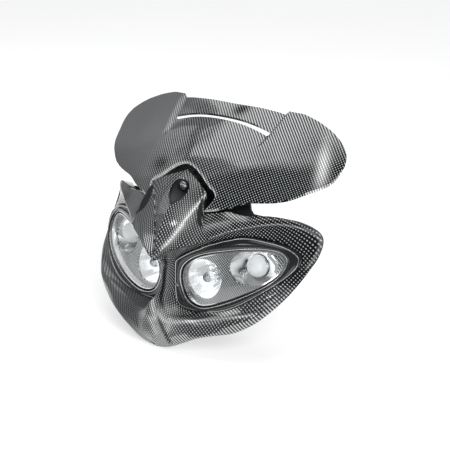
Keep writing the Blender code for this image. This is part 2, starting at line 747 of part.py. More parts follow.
def nose_recess(y0, count=24):
    """What is cut from the plug: an oval recess to the floor at y0, and the screw's clearance hole behind it."""
    skin = turned([(0, y0 - 50), (1, y0 - 50), (1, y0), (0.3, y0), (0.3, y0 + 12), (0, y0 + 12)], (0, 0), count)
    out = Skin()
    for x, y, z in skin.verts:
        small = math.hypot(x, z) < 0.5
        out.verts.append((x * 3.3 / 0.3, y, NOSE_Z + z * 3.3 / 0.3) if small else (x * NOSE_BORE_X, y, NOSE_Z + z * NOSE_BORE))
    out.faces = skin.faces
    return out


def screw_skin(axis_at, y_head, length, head_r, head_h, shank_r, count=16, drive=0.0):
    """Button-head screw along Y, its head towards the front (-Y)."""
    y0 = y_head
    return turned([
        (0, y0 + drive), (head_r * 0.38, y0 + drive), (head_r * 0.38, y0), (head_r * 0.62, y0 + head_h * 0.12),
        (head_r, y0 + head_h * 0.75), (head_r, y0 + head_h), (shank_r, y0 + head_h), (shank_r, y0 + head_h + length), (0, y0 + head_h + length),
    ], axis_at, count)


def rear_screw(axis_at, y_face, length, head_r, head_h, shank_r, count=12):
    """Hexagon-head screw along Y that is put in from the back."""
    return turned([
        (0, y_face - length), (shank_r, y_face - length), (shank_r, y_face), (head_r, y_face), (head_r, y_face + head_h), (0, y_face + head_h),
    ], axis_at, count)


CARRIER_WALL = (29.0, 32.0)
SHELF = (-11.0, -8.0)
CARRIER_OUTLINE = [(0, -11), (72, -11), (76, -2.9), (109, -2.9), (109, 5), (106, 8), (74, 8), (70.5, 12), (66, 55), (40, 64), (0, 72)]
SCREEN_SCREW = (37.0, 38.0)     # screws that hold the flyscreen from below (X, Y)
SCREEN_TAB = (58.0, 61.0)       # Z of the carrier's tabs under them
FRAME_OUTLINE = [(0, -88), (76, -88), (86, -70), (116, -66), (116, -22), (70, -20), (60, -11.35), (0, -11.35)]
FRAME_SCREWS = [("lower", 67.0, -75.0), ("upper", 68.0, -32.0)]
FLANGE_SCREW = (42.0, 59.0)     # carrier to frame (X, Y)
FIXING_HOLES = [(14.0, -34.0), (14.0, -76.0)]   # for the bolts to the motorcycle's brackets (X, Z)
TAB_SCREW = (10.6, -73.5)       # small screw at the inner end of each lens unit (X, Z)


def mirrored_outline(half):
    """Full outline from its right half, which runs from bottom to top and starts and ends on X = 0."""
    return half + [(-x, z) for x, z in half[::-1] if x > 0]


def flipped(skin):
    out = Skin()
    out.verts = [(-x, y, z) for x, y, z in skin.verts]
    out.faces = [tuple(f)[::-1] for f in skin.faces]
    return out


def rod(x, z, r, y0, y1, count=16):
    return turned([(0, y0), (r, y0), (r, y1), (0, y1)], (x, z), count)


def post(x, y, r, z0, z1, count=16):
    return upright([(0, z0), (r, z0), (r, z1), (0, z1)], x, y, count)


def screen_boss(x, y, r, z0, depth, count=12):
    """Upright boss whose top follows the sheet, a depth below its face."""
    around = [(x + r * math.cos(2 * math.pi * k / count), y + r * math.sin(2 * math.pi * k / count)) for k in range(count)]
    skin = Skin()
    low = [(a, b, z0) for a, b in around]
    high = [(a, b, screen_height(a, b) - screen_drop(0, b, 0) - depth) for a, b in around]
    skin.cap(low)
    skin.ring([low, high])
    skin.fan(high, (x, y, screen_height(x, y) - screen_drop(0, y, 0) - depth))
    return skin


def boot_skin(centre, count=12):
    """Rubber cap, open to the housing."""
    return turned([
        (0, 66), (8.6, 66), (9.4, 65), (10, 58), (13.6, 56.5), (15, 54.5), (15, 48.9),
        (12.4, 48.9), (12.4, 53), (8.6, 56), (7.9, 63), (0, 63),
    ], centre, count)


def bulb_skin(centre, count=12):
    """Capsule bulb with its collar and base."""
    return turned([
        (0, -14), (3.4, -13.2), (5.5, -10.5), (6, -7), (6, 8.5), (6.9, 9.5), (6.9, 17),
        (10.2, 17), (10.2, 19.5), (7, 19.5), (7, 56), (0, 56),
    ], centre, count)


def barrel_skin(centre, count=16):
    """Projector barrel behind the auxiliary lamp's glass."""
    return turned([
        (0, 14.4), (12.2, 14.4), (12.6, 14.9), (12.6, 24), (9.5, 30), (7, 34), (7, 56), (0, 56),
    ], centre, count)


def dome_skin(centre, count=16):
    """Thick round glass in front of the barrel."""
    return turned([(0, 1.0), (5, 1.9), (9, 4.6), (11.6, 8.6), (12.4, 12), (12.4, 14), (0, 14)], centre, count)


# ---------------------------------------------------------------- the object
def clear_scene():
    for obj in list(bpy.data.objects):
        bpy.data.objects.remove(obj, do_unlink=True)


def solidify(obj, thickness):
    mod = obj.modifiers.new("wall", "SOLIDIFY")
    mod.thickness = thickness / 1000
    mod.offset = -1


def shape(obj, tools):
    """Boolean steps in order: (kind, skin)."""
    for k, (kind, skin) in enumerate(tools):
        cut(obj, skin, f"{obj.name}_tool_{k}", kind)
    return obj


def pair(name, skin, mat, tools=(), smooth=40.0):
    """The right-hand piece and its mirror image."""
    for side, turn in (("right", lambda s: s), ("left", flipped)):
        shape(to_object(f"{name}_{side}", turn(skin), mat, smooth=smooth), [(kind, turn(tool)) for kind, tool in tools])


def build_mask():
    skin = mask_half().mirrored()
    mask = to_object("front_mask", skin, carbon(), smooth=32)
    solidify(mask, WALL)
    bvh = BVHTree.FromPolygons(skin.verts, [list(f) for f in skin.faces])
    y0 = NOSE_PIVOT[0] - NOSE_FLOOR
    shape(mask, [
        ("UNION", nose_plug(bvh)),
        ("DIFFERENCE", tilted(nose_recess(y0), NOSE_TILT, NOSE_PIVOT)),
    ])
    head = y0 - 0.35
    screw = screw_skin((0, NOSE_Z), head - 3.6, 26.4, 5.8, 3.6, 2.9, 20, drive=2.0)
    to_object("nose_screw", tilted(screw, NOSE_TILT, NOSE_PIVOT), zinc())


def build_screen():
    screen = to_object("flyscreen", screen_half().mirrored(), carbon(), smooth=32)
    solidify(screen, SCREEN_T)
    x, y = SCREEN_SCREW
    top = screen_height(x, y) - 7
    tools = []
    for side in (1, -1):
        tools.append(("UNION", screen_boss(side * x, y, 5, SCREEN_TAB[1] + 0.4, 1.8)))
    for side in (1, -1):
        tools.append(("DIFFERENCE", post(side * x, y, 1.8, SCREEN_TAB[1] - 1, top, 12)))
    shape(screen, tools)
    z = SCREEN_TAB[0] - 0.35
    pair("screen_screw", upright([(0, z - 2.6), (3.8, z - 2.6), (4.2, z - 2), (4.2, z), (1.5, z), (1.5, top - 2), (0, top - 2)], x, y, 12), zinc())


def build_carrier():
    carrier = to_object("screen_carrier", prism(mirrored_outline(CARRIER_OUTLINE), *CARRIER_WALL), black())
    x, y = SCREEN_SCREW
    fx, fy = FLANGE_SCREW
    tools = [("UNION", plate_z([(-70, CARRIER_WALL[0] + 1), (70, CARRIER_WALL[0] + 1), (70, 42), (54, 68), (-54, 68), (-70, 42)], *SHELF))]
    for side in (1, -1):
        tools.append(("UNION", box(side * x - 6.5, side * x + 6.5, CARRIER_WALL[0] + 1, y + 7, *SCREEN_TAB)))
        tools.append(("UNION", prism_x([(31, -9), (60, -9), (31, 30)], side * 52 - 1.5, side * 52 + 1.5)))
    tools.append(("UNION", tilted(rod(0, NOSE_Z, 5.8, 5.6, 31.2), NOSE_TILT, NOSE_PIVOT)))
    tools.append(("DIFFERENCE", tilted(rod(0, NOSE_Z, 3.3, 4.0, 28.0), NOSE_TILT, NOSE_PIVOT)))
    for side in (1, -1):
        tools.append(("DIFFERENCE", post(side * x, y, 2.3, SCREEN_TAB[0] - 1, SCREEN_TAB[1] + 1, 12)))
        tools.append(("DIFFERENCE", post(side * fx, fy, 2.8, SHELF[0] - 1, SHELF[1] + 1, 12)))
    shape(carrier, tools)


def build_frame():
    frame = to_object("rear_frame", prism(mirrored_outline(FRAME_OUTLINE), PLATE_Y, PLATE_Y + PLATE_T), steel())
    fx, fy = FLANGE_SCREW
    top = SHELF[0] - 0.35
    tools = [("UNION", box(-54, 54, PLATE_Y + 0.5, 66, top - 3, top))]
    for side in (1, -1):
        for centre in (MAIN, AUX):
            tools.append(("DIFFERENCE", rod(side * centre[0], centre[1], 17, PLATE_Y - 2, PLATE_Y + PLATE_T + 2, 24)))
        for _, x, z in FRAME_SCREWS:
            tools.append(("DIFFERENCE", rod(side * x, z, 2.8, PLATE_Y - 2, PLATE_Y + PLATE_T + 2, 12)))
        for x, z in FIXING_HOLES:
            tools.append(("DIFFERENCE", rod(side * x, z, 3.3, PLATE_Y - 2, PLATE_Y + PLATE_T + 2, 12)))
        tools.append(("DIFFERENCE", post(side * fx, fy, 2.8, top - 5, top + 1, 12)))
    shape(frame, tools)
    head = SHELF[1] + 0.35
    pair("carrier_screw", upright([(0, top - 13), (2.3, top - 13), (2.3, head), (4.6, head), (4.6, head + 2.6), (3.6, head + 3.4), (0, head + 3.4)], fx, fy, 12), zinc())
    low = top - 3 - 0.35
    pair("carrier_nut", upright([(4.8, low - 4), (4.8, low), (2.7, low), (2.7, low - 4)], fx, fy, 6), zinc(), smooth=20)
    for place, x, z in FRAME_SCREWS:
        pair(f"housing_screw_{place}", rear_screw((x, z), PLATE_Y + PLATE_T + 0.35, 12, 4.3, 3, 2.2), zinc())


def build_lamps():
    tx, tz = TAB_SCREW
    face = seat(tx, tz)
    pair("bezel", bezel_skin(), black(), [
        ("DIFFERENCE", rod(tx, tz, 3.0, face - 12, face - 1.2)),
        ("DIFFERENCE", rod(tx, tz, 1.5, face - 3, face + 4, 12)),
    ], smooth=30)
    pair("lens_screw", screw_skin((tx, tz), face - 1.55 - 1.7, 4, 2.6, 1.7, 1.1, 12, drive=0.9), zinc())
    pair("lens", lens_skin(), clear())
    pair("lens_seal", seal_skin(), rubber())
    hole = turned([(0, -60), (MAIN_R, -60), (MAIN_R, 60), (0, 60)], MAIN, 24)
    oval = prism(circle(AUX, AUX_RX, 24, AUX_RZ), -60, 60)
    pair("lamp_panel", panel_skin(), carbon(), [("DIFFERENCE", hole), ("DIFFERENCE", oval)], smooth=30)
    pair("main_reflector", reflector_skin(MAIN, MAIN_R, MAIN_R, 14.0, 7.6), chrome())
    pair("aux_reflector", reflector_skin(AUX, AUX_RX, AUX_RZ, 17.0, 13.4), chrome())
    tools = []
    for _, x, z in FRAME_SCREWS:
        tools.append(("UNION", rod(x, z, 5, 35, REAR_Y - 1, 12)))
    for _, x, z in FRAME_SCREWS:
        tools.append(("DIFFERENCE", rod(x, z, 2.6, 38, REAR_Y + 2, 12)))
    for centre in (MAIN, AUX):
        tools.append(("DIFFERENCE", rod(*centre, 11, REAR_Y - 8, REAR_Y + 2, 20)))
    pair("lamp_housing", housing_skin(), black(), tools, smooth=30)
    pair("main_bulb", bulb_skin(MAIN), glass())
    pair("aux_barrel", barrel_skin(AUX), chrome())
    pair("aux_lens", dome_skin(AUX), glass())
    pair("main_boot", boot_skin(MAIN), rubber())
    pair("aux_boot", boot_skin(AUX), rubber())


def build():
    clear_scene()
    build_mask()
    build_screen()
    build_carrier()
    build_frame()
    build_lamps()


build()
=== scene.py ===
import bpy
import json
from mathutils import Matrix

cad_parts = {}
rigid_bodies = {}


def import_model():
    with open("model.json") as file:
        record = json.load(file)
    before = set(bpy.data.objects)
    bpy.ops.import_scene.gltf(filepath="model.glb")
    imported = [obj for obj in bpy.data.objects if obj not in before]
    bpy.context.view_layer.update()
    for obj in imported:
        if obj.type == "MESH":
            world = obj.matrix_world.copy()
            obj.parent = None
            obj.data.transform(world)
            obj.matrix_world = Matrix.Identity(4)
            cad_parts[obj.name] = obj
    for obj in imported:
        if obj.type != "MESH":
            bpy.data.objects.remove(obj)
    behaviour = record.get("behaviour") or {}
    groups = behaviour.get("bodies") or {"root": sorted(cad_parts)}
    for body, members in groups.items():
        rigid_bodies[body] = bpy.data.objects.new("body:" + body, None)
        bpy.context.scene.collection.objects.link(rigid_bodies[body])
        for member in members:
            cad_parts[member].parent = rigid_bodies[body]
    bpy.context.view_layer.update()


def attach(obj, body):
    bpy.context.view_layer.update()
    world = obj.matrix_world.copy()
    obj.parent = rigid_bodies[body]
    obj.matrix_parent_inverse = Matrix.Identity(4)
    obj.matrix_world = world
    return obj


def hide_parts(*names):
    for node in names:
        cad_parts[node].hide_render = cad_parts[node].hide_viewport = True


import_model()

# Looks of the twin headlight mask: finer meshes of every moulding, procedural materials, floor, light and camera.
# The meshes are made in the CAD frame: X to the viewer's right, Y to the back, Z up, in millimetres before to_object.
import json
import math

import bpy
import bmesh
import numpy as np
from mathutils import Matrix, Vector
from mathutils.bvhtree import BVHTree

for startup in [o for o in bpy.data.objects if o.name in ("Cube", "Light", "Camera")]:
    bpy.data.objects.remove(startup, do_unlink=True)

# ---------------------------------------------------------------- driving dimensions (mm)
WALL = 2.4            # moulded shell of the front mask
SCREEN_T = 3.0        # flyscreen sheet
PANEL_DROP = 3.4      # how far the flyscreen's centre panel lies below the wings
SLOT_DROP = 1.8       # extra drop of the lower panel at the vent slot
GAP = 0.8             # clearance between neighbouring mouldings
LENS_RISE = 11.0      # how far a lens bulges out of its seat
LENS_T = 2.6
BEZEL_LIP = 3.2
MAIN = (40.0, -63.0)  # main lamp centre (X, Z)
MAIN_R = 22.5
AUX = (94.0, -43.5)   # auxiliary lamp centre (X, Z)
AUX_RX, AUX_RZ = 25.6, 19.0
REAR_Y = 48.5         # rear wall of the lamp housings
SKIRT = 7.0           # depth of the skirt round each lamp opening
PLATE_Y = 49.0        # front face of the steel frame
PLATE_T = 3.0
NOSE_Z = 36.3         # height of the nose screw
NOSE_BORE = 8.5       # half height of its oval recess
NOSE_BORE_X = 12.4    # half width
NOSE_TILT = math.radians(16)   # the nose screw points forward and down
ORIGIN = (0.0, PLATE_Y + PLATE_T, -55.0)


# ---------------------------------------------------------------- curve and surface helpers
def hermite(points, tangents, u):
    """Point at parameter u (0 .. n-1) of a Hermite curve with unit-spaced knots."""
    i = int(min(max(math.floor(u), 0), len(points) - 2))
    t = u - i
    a, b = points[i], points[i + 1]
    ta, tb = tangents[i], tangents[i + 1]
    return (
        a * (2 * t**3 - 3 * t**2 + 1)
        + b * (3 * t**2 - 2 * t**3)
        + ta * (t**3 - 2 * t**2 + t)
        + tb * (t**3 - t**2)
    )


def smooth_tangents(points, closed=False, corners=()):
    """Catmull-Rom tangents; a corner gets none of its neighbours' pull."""
    n = len(points)
    out = []
    for i in range(n):
        if i in corners:
            out.append(None)
        elif closed:
            last = points[i - 1] if i else points[n - 2]
            following = points[i + 1] if i < n - 1 else points[1]
            out.append((following - last) / 2)
        elif 0 < i < n - 1:
            out.append((points[i + 1] - points[i - 1]) / 2)
        else:
            out.append(None)
    return out


def curve(points, corners=(), closed=False):
    """A function of u through all the points, broken at the corners."""
    p = np.array(points, float)
    n = len(p)
    middle = smooth_tangents(p, closed, corners)

    def at(u):
        i = int(min(max(math.floor(u), 0), n - 2))
        chord = p[i + 1] - p[i]
        ta, tb = middle[i], middle[i + 1]
        # at a corner or an end the curve starts straight towards the next knot's tangent
        if ta is None and tb is None:
            ta = tb = chord
        elif ta is None:
            ta = (3 * chord - tb) / 2
        elif tb is None:
            tb = (3 * chord - ta) / 2
        t = u - i
        return (
            p[i] * (2 * t**3 - 3 * t**2 + 1)
            + p[i + 1] * (3 * t**2 - 2 * t**3)
            + ta * (t**3 - 2 * t**2 + t)
            + tb * (t**3 - t**2)
        )

    return at


def evenly(points, count, closed=True, fine=40):
    """The curve through the points, resampled to count points at equal arc length."""
    pts = list(points) + ([points[0]] if closed else [])
    at = curve(pts, closed=closed)
    us = np.linspace(0, len(pts) - 1, fine * (len(pts) - 1) + 1)
    dense = np.array([at(u) for u in us])
    length = np.concatenate([[0], np.cumsum(np.linalg.norm(np.diff(dense, axis=0), axis=1))])
    want = np.linspace(0, length[-1], count + 1)[:-1] if closed else np.linspace(0, length[-1], count)
    return np.stack([np.interp(want, length, dense[:, k]) for k in range(dense.shape[1])], 1)


def inset(loop, distance):
    """A closed flat loop moved inwards by a distance (the loop runs either way)."""
    nxt, last = np.roll(loop, -1, 0), np.roll(loop, 1, 0)
    along = nxt - last
    along /= np.linalg.norm(along, axis=1)[:, None]
    normal = np.stack([-along[:, 1], along[:, 0]], 1)
    x, z = loop[:, 0], loop[:, 1]
    area = 0.5 * np.sum(x * np.roll(z, -1) - np.roll(x, -1) * z)
    return loop + normal * distance * (1 if area > 0 else -1)


class Skin:
    """Gathers vertices and faces, and welds the points that fall together."""

    def __init__(self):
        self.verts, self.faces = [], []

    def grid(self, rows, flip=False, hole=None):
        """rows[i][j] are points; hole(i, j) leaves a face out."""
        base = len(self.verts)
        n, m = len(rows), len(rows[0])
        for row in rows:
            self.verts.extend([tuple(p) for p in row])
        for i in range(n - 1):
            for j in range(m - 1):
                if hole and hole(i, j):
                    continue
                a = base + i * m + j
                face = (a, a + 1, a + m + 1, a + m)
                self.faces.append(face[::-1] if flip else face)

    def ring(self, loops, close=False, flip=False):
        """Closed loops of equal length joined one after the other."""
        rows = [list(l) + [l[0]] for l in loops]
        if close:
            rows.append(rows[0])
        self.grid(rows, flip)

    def fan(self, loop, centre, flip=False):
        base = len(self.verts)
        self.verts.extend([tuple(p) for p in loop] + [tuple(centre)])
        c, n = base + len(loop), len(loop)
        for j in range(n):
            face = (base + j, base + (j + 1) % n, c)
            self.faces.append(face[::-1] if flip else face)

    def cap(self, loop, flip=False):
        """One flat face over a loop."""
        base = len(self.verts)
        self.verts.extend([tuple(p) for p in loop])
        face = tuple(range(base, base + len(loop)))
        self.faces.append(face[::-1] if flip else face)

    def mirrored(self):
        other = Skin()
        n = len(self.verts)
        other.verts = self.verts + [(-x, y, z) for x, y, z in self.verts]
        other.faces = self.faces + [tuple(n + v for v in f)[::-1] for f in self.faces]
        return other


def to_object(name, skin, mat, weld=0.02, smooth=40.0):
    """A mesh object from a skin in millimetres, at true place, its faces turned outward where it is closed."""
    mesh = bpy.data.meshes.new(name)
    pts = [((x - ORIGIN[0]) / 1000, (y - ORIGIN[1]) / 1000, (z - ORIGIN[2]) / 1000) for x, y, z in skin.verts]
    mesh.from_pydata(pts, [], skin.faces)
    bm = bmesh.new()
    bm.from_mesh(mesh)
    bmesh.ops.remove_doubles(bm, verts=bm.verts, dist=weld / 1000)
    bmesh.ops.dissolve_degenerate(bm, edges=bm.edges, dist=weld / 2000)
    if all(len(e.link_faces) == 2 for e in bm.edges):
        bmesh.ops.recalc_face_normals(bm, faces=bm.faces)
        if bm.calc_volume(signed=True) < 0:
            bmesh.ops.reverse_faces(bm, faces=bm.faces)
    bm.to_mesh(mesh)
    bm.free()
    mesh.shade_smooth()
    mesh.set_sharp_from_angle(angle=math.radians(smooth))
    obj = bpy.data.objects.new(name, mesh)
    bpy.context.scene.collection.objects.link(obj)
    obj.data.materials.append(mat)
    return obj


def turned(profile, centre, count=24):
    """A solid turned about an axis along Y through centre (X, Z); profile runs as (radius, Y), axis to axis."""
    skin = Skin()
    loops = []
    for r, y in profile:
        if r > 0:
            loops.append([
                (centre[0] + r * math.cos(2 * math.pi * k / count), y, centre[1] + r * math.sin(2 * math.pi * k / count))
                for k in range(count)
            ])
    if profile[0][0] == 0:
        skin.fan(loops[0], (centre[0], profile[0][1], centre[1]), flip=True)
    skin.ring(loops, close=profile[0][0] > 0)
    if profile[-1][0] == 0:
        skin.fan(loops[-1], (centre[0], profile[-1][1], centre[1]))
    return skin


def prism(outline, y0, y1):
    """A plate: an outline in X and Z between two Y planes."""
    skin = Skin()
    n = len(outline)
    front = [(x, y0, z) for x, z in outline]
    back = [(x, y1, z) for x, z in outline]
    skin.verts = front + back
    skin.faces = [tuple(range(n)), tuple(range(2 * n - 1, n - 1, -1))]
    skin.faces += [(j, n + j, n + (j + 1) % n, (j + 1) % n) for j in range(n)]
    return skin


def box(x0, x1, y0, y1, z0, z1):
    return prism([(x0, z0), (x1, z0), (x1, z1), (x0, z1)], y0, y1)


def circle(centre, r, count=24, rz=None):
    return [
        (centre[0] + r * math.cos(2 * math.pi * k / count), centre[1] + (rz or r) * math.sin(2 * math.pi * k / count))
        for k in range(count)
    ]


def cut(target, skin, name, operation="DIFFERENCE"):
    """A Boolean with a helper body that is kept out of the render."""
    helper = to_object(name, skin, target.data.materials[0])
    helper.hide_render = True
    helper.display_type = "WIRE"
    mod = target.modifiers.new(name, "BOOLEAN")
    mod.operation = operation
    mod.solver = "EXACT"
    mod.object = helper
    return helper


# ---------------------------------------------------------------- lamp seat surface
def seat(x, z, off=0.0):
    """Y of the surface in which lens and bezel sit: it sweeps back to the outside and leans back at the top."""
    x = abs(x)
    lean = 0.0052 * (math.sqrt((x - 20) ** 2 + 100) + (x - 20)) / 2
    return -24.5 + 0.0019 * x * x + lean * (z + 55) + off


def on_seat(loop, off=0.0):
    return [(x, seat(x, z, off), z) for x, z in loop]


# ---------------------------------------------------------------- front mask sections (right half)
# Each station runs from the lamp opening over the rim of the eye to the outer edge:
# opening (X, Z), rim, middle of the outer face, outer edge (X, Y, Z).
STATIONS = [
    ((30, -99.5), (30, -47.5, -103.5), (19, -57, -127), (0, -51, -143)),       # 0 chin, lowest point
    ((22, -99.5), (22, -50, -102.5), (15.5, -58, -117), (0, -58, -133)),       # 1
    ((14.5, -98), (15.5, -52, -99.5), (11, -58, -106), (0, -59.5, -118)),      # 2 chin front
    ((9.8, -94.5), (11, -52, -93.5), (7.5, -54.5, -96), (0, -57, -103)),       # 3 lower inner corner of the eye
    ((7.2, -87), (7.5, -44, -86), (4.8, -46.5, -87), (0, -47.5, -89)),         # 4 foot of the bar
    ((6.2, -77), (5.5, -37, -76), (3.8, -39.5, -76), (0, -40.5, -76.5)),       # 5
    ((6.0, -62), (5.0, -35, -62), (3.5, -37, -62), (0, -38, -62)),             # 6 bar between the eyes
    ((6.5, -48), (5.5, -36, -49), (3.8, -38, -48.5), (0, -39, -48)),           # 7
    ((9.0, -43), (6.0, -42, -42), (3.5, -44.5, -41.5), (0, -46, -41.5)),       # 8 under the nose
    ((12, -40.5), (4.5, -54, -37), (1.8, -53.5, -37), (0, -55.5, -40)),        # 9 tip of the nose
    ((18, -36.5), (13, -53.5, -28.5), (6, -46, -27), (0, -51.5, -30)),         # 10
    ((25, -32), (22, -49.5, -23.5), (12, -37.5, -16), (0, -46.5, -13)),        # 11
    ((32, -28), (31, -44.5, -20), (18, -30, -4), (0, -38, 3)),                 # 12
    ((38, -25), (39, -40, -17.5), (23.5, -24.5, 7), (0, -22, 23)),             # 13
    ((43, -22), (45, -36.5, -15.5), (29, -18.5, 17), (0, 5, 52)),              # 14 top of the nose
    ((46, -20.5), (49.5, -33.5, -13.5), (34.2, -14.6, 25.4), (20.6, -1.8, 44)),  # 15
    ((49, -19), (53, -31, -12), (39.0, -11.4, 32.6), (40, -9.9, 35.4)),        # 16 shoulder corner
    ((52, -18), (56, -28.5, -10.5), (38, -18.5, 17), (37, -13.5, 23.5)),         # 17
    ((56, -16.5), (60, -26, -8.5), (43, -24.5, 2.5), (35, -16.5, 11.5)),         # 18 foot of the shoulder
    ((62, -14), (66, -21.5, -5.5), (57, -19.5, 5), (52, -10.5, 15)),           # 19
    ((69, -12), (73, -17, -2), (69, -12.5, 9), (66, -4, 18)),                  # 20 fold of the brow
    ((78, -9.5), (82, -11, 1.5), (80, -5.5, 10), (84, 3, 14.5)),               # 21
    ((90, -9), (93, -1.5, 4), (93, 3, 12), (97, 9, 16)),                       # 22
    ((102, -11), (105, 7.5, 7), (106, 11, 13.5), (109, 16, 16)),               # 23 crest
    ((114, -13.5), (118, 18.5, 8), (119, 21, 13), (121, 26, 13.5)),            # 24
    ((125, -17), (131, 32, 4.5), (132, 34, 9), (133, 38, 9)),                  # 25
    ((134, -21.5), (142, 44, -1.5), (143, 46, 2), (144, 49, 1)),               # 26
    ((140, -26.5), (149.5, 52, -12.5), (150.5, 53, -11), (151.5, 54, -11.5)),  # 27 ear
    ((142, -31.5), (150, 45, -26), (151.5, 46, -26.5), (152, 48, -26)),        # 28
    ((141, -39.5), (146.5, 33, -39), (148.5, 34.5, -40), (149, 37, -40)),      # 29
    ((134.5, -49), (141, 19.5, -53), (143.2, 20.5, -54.5), (143.5, 23.5, -55)),  # 30
    ((124, -59), (134, 5, -66), (136.3, 5.5, -68.5), (136.8, 8.5, -69.5)),     # 31
    ((111, -69.5), (123.5, -9, -77.5), (125.5, -9.5, -81.5), (126.5, -5, -84)),  # 32
    ((96.5, -80), (111, -20, -86), (112, -23, -93), (112, -17, -99)),            # 33
    ((81, -88.5), (95, -26.5, -91), (95, -32, -101), (94, -29, -110)),         # 34
    ((67, -93.5), (79, -30, -96), (78, -40, -106), (77, -39.5, -114)),         # 35
    ((54, -96), (63, -34.5, -100), (61, -46, -110.5), (59, -48, -119)),        # 36
    ((43, -98.3), (49, -39.5, -103), (46, -51.5, -114.5), (41, -52, -128)),    # 37
    ((36, -99), (39, -44, -104), (32, -55.5, -121), (21, -53.5, -137.5)),      # 38
]
STATIONS.append(STATIONS[0])
RETURN = [  # station, then how far the rear edge lies from the outer edge (X, Y, Z)
    (14, 0, 6, -4), (15, -3, 6, -6), (16, -4, 6, -8), (17, -6, 7, -4), (18, -2, 9, -5), (20, -2, 12, -7), (23, -1, 11, -5),
    (26, -9, 12, -5), (27, -12, 13, -3), (30, -14, 15, 2), (32, -15, 17, 5), (34, -8, 21, 6), (36, 0, 26, 6), (39, 0, 30, 7),
]
CREASE = [  # station, then how smoothly the outer face runs through its middle line (1 smooth, 0 creased)
    (0, 0.5), (3, 0.4), (6, 1), (9, 0.3), (10, 0), (16, 0), (18, 0.6), (20, 1), (36, 1), (39, 0.5),
]
EDGE = [  # the same for the outer edge, where the rear return starts
    (14, 0), (21, 0.1), (23, 0.7), (27, 0.7), (30, 1), (36, 1), (39, 0),
]
LIP = [(0, 1.2), (3, 0.8), (4, 0.3), (9, 0.3), (10, 1.0), (12, 1.8), (22, 1.4), (26, 0.6), (31, 0.6), (34, 1.4), (39, 1.2)]
HOLLOW = [  # station, then how far the recess wall sags behind the straight line from rim to opening (X, Y, Z)
    (0, 0, 3, -1.5), (3, 0, 2, 0), (5, 0, 0, 0), (9, 0, 1, 1), (12, 0, 2, 2.5), (22, 0, 2, 3), (26, 0, 2, 2), (30, 0, 1.5, 0), (35, 0, 3, -2), (39, 0, 3, -1.5),
]


def from_table(table, u):
    keys = [row[0] for row in table]
    return np.array([np.interp(u, keys, [row[k] for row in table]) for k in range(1, len(table[0]))])


def mask_levels():
    opening = curve([s[0] for s in STATIONS], closed=True)
    rim = curve([s[1] for s in STATIONS], closed=True)
    middle = curve([s[2] for s in STATIONS], corners=(9, 16), closed=True)
    outer = curve([s[3] for s in STATIONS], corners=(0, 3, 9, 14, 16, 18, 20, 39))
    return opening, rim, middle, outer


def mask_half(per_station=1, wall_steps=1, lip_steps=1, face_steps=2, return_steps=2):
    """The visible skin of the right half, from the opening to the rear edge."""
    opening, rim, middle, outer = mask_levels()
    skin = Skin()
    count = (len(STATIONS) - 1) * per_station
    rows, back = [], []
    for j in range(count + 1):
        u = j / per_station
        x, z = opening(u)
        o = np.array([x, seat(x, z, 1.5), z])
        r, m, b = rim(u), middle(u), outer(u)
        if u <= 14 or u >= 39:
            b[0] = 0.0
        wall = (o + r) / 2 + from_table(HOLLOW, u)
        l = r + 0.3 * (m - r) + np.array([0, -from_table(LIP, u)[0], 0])
        crease = from_table(CREASE, u)[0]
        edge = from_table(EDGE, u)[0] if u >= 14 else 0.0
        t = b + (from_table(RETURN, u) if u >= 14 else np.zeros(3))
        line = [np.array([x, seat(x, z, SKIRT), z])]
        bend = curve([o, wall, r])
        for k in range(wall_steps * 2 + 1):
            line.append(bend(k / wall_steps))
        knots = [r, l, m, b]
        tangents = [(l - r) * 1.2, (m - r) / 2, (b - l) / 2 * crease, (b - m) * (1 - edge) + edge * (t - m) / 2]
        if u < 14:
            tangents[3] = (b - m)
        if crease < 0.05:
            tangents[2] = np.zeros(3)
        for seg, steps in enumerate((lip_steps, face_steps, face_steps)):
            for k in range(1, steps + 1):
                v = seg + k / steps
                if seg == 2 and crease < 0.05:
                    line.append(m + (b - m) * (k / steps))
                else:
                    line.append(hermite(knots, tangents, v))
        rows.append(line)
        if u >= 14:
            knots = [b, t]
            tangents = [(t - b) * (1 - edge) + edge * (t - m) / 2, (t - b)]
            if u >= 39:
                tangents = [np.array([0, *d[1:]]) for d in tangents]   # stays in the mirror plane
            back.append([hermite(knots, tangents, k / return_steps) for k in range(return_steps + 1)])
    skin.grid(rows, flip=True)
    skin.grid(back, flip=True)
    return skin


# ---------------------------------------------------------------- flyscreen
SCREEN_Y = (-15, 5, 30, 60, 92)
SCREEN_X = (0, 40, 80, 120, 164)
SCREEN_Z = (  # height of the sheet's top face at those stations, one row for each X
    (22, 61.5, 85, 102, 115.5),
    (15, 48, 77, 98, 116),
    (0, 34, 61, 85, 114),
    (-6, 22, 44, 67, 104),
    (8, 26, 39, 55, 91),
)


def spline_1d(keys, values, at):
    """Catmull-Rom through unevenly spaced keys."""
    keys, values = list(keys), [float(v) for v in values]
    n = len(keys)
    slopes = []
    for i in range(n):
        a, b = max(i - 1, 0), min(i + 1, n - 1)
        slopes.append((values[b] - values[a]) / (keys[b] - keys[a]))
    i = 0
    while i < n - 2 and at > keys[i + 1]:
        i += 1
    h = keys[i + 1] - keys[i]
    t = (at - keys[i]) / h
    if t < 0 or t > 1:
        end = 0 if t < 0 else n - 1
        return values[end] + slopes[end] * (at - keys[end])
    return (
        values[i] * (2 * t**3 - 3 * t**2 + 1)
        + values[i + 1] * (3 * t**2 - 2 * t**3)
        + slopes[i] * h * (t**3 - 2 * t**2 + t)
        + slopes[i + 1] * h * (t**3 - t**2)
    )


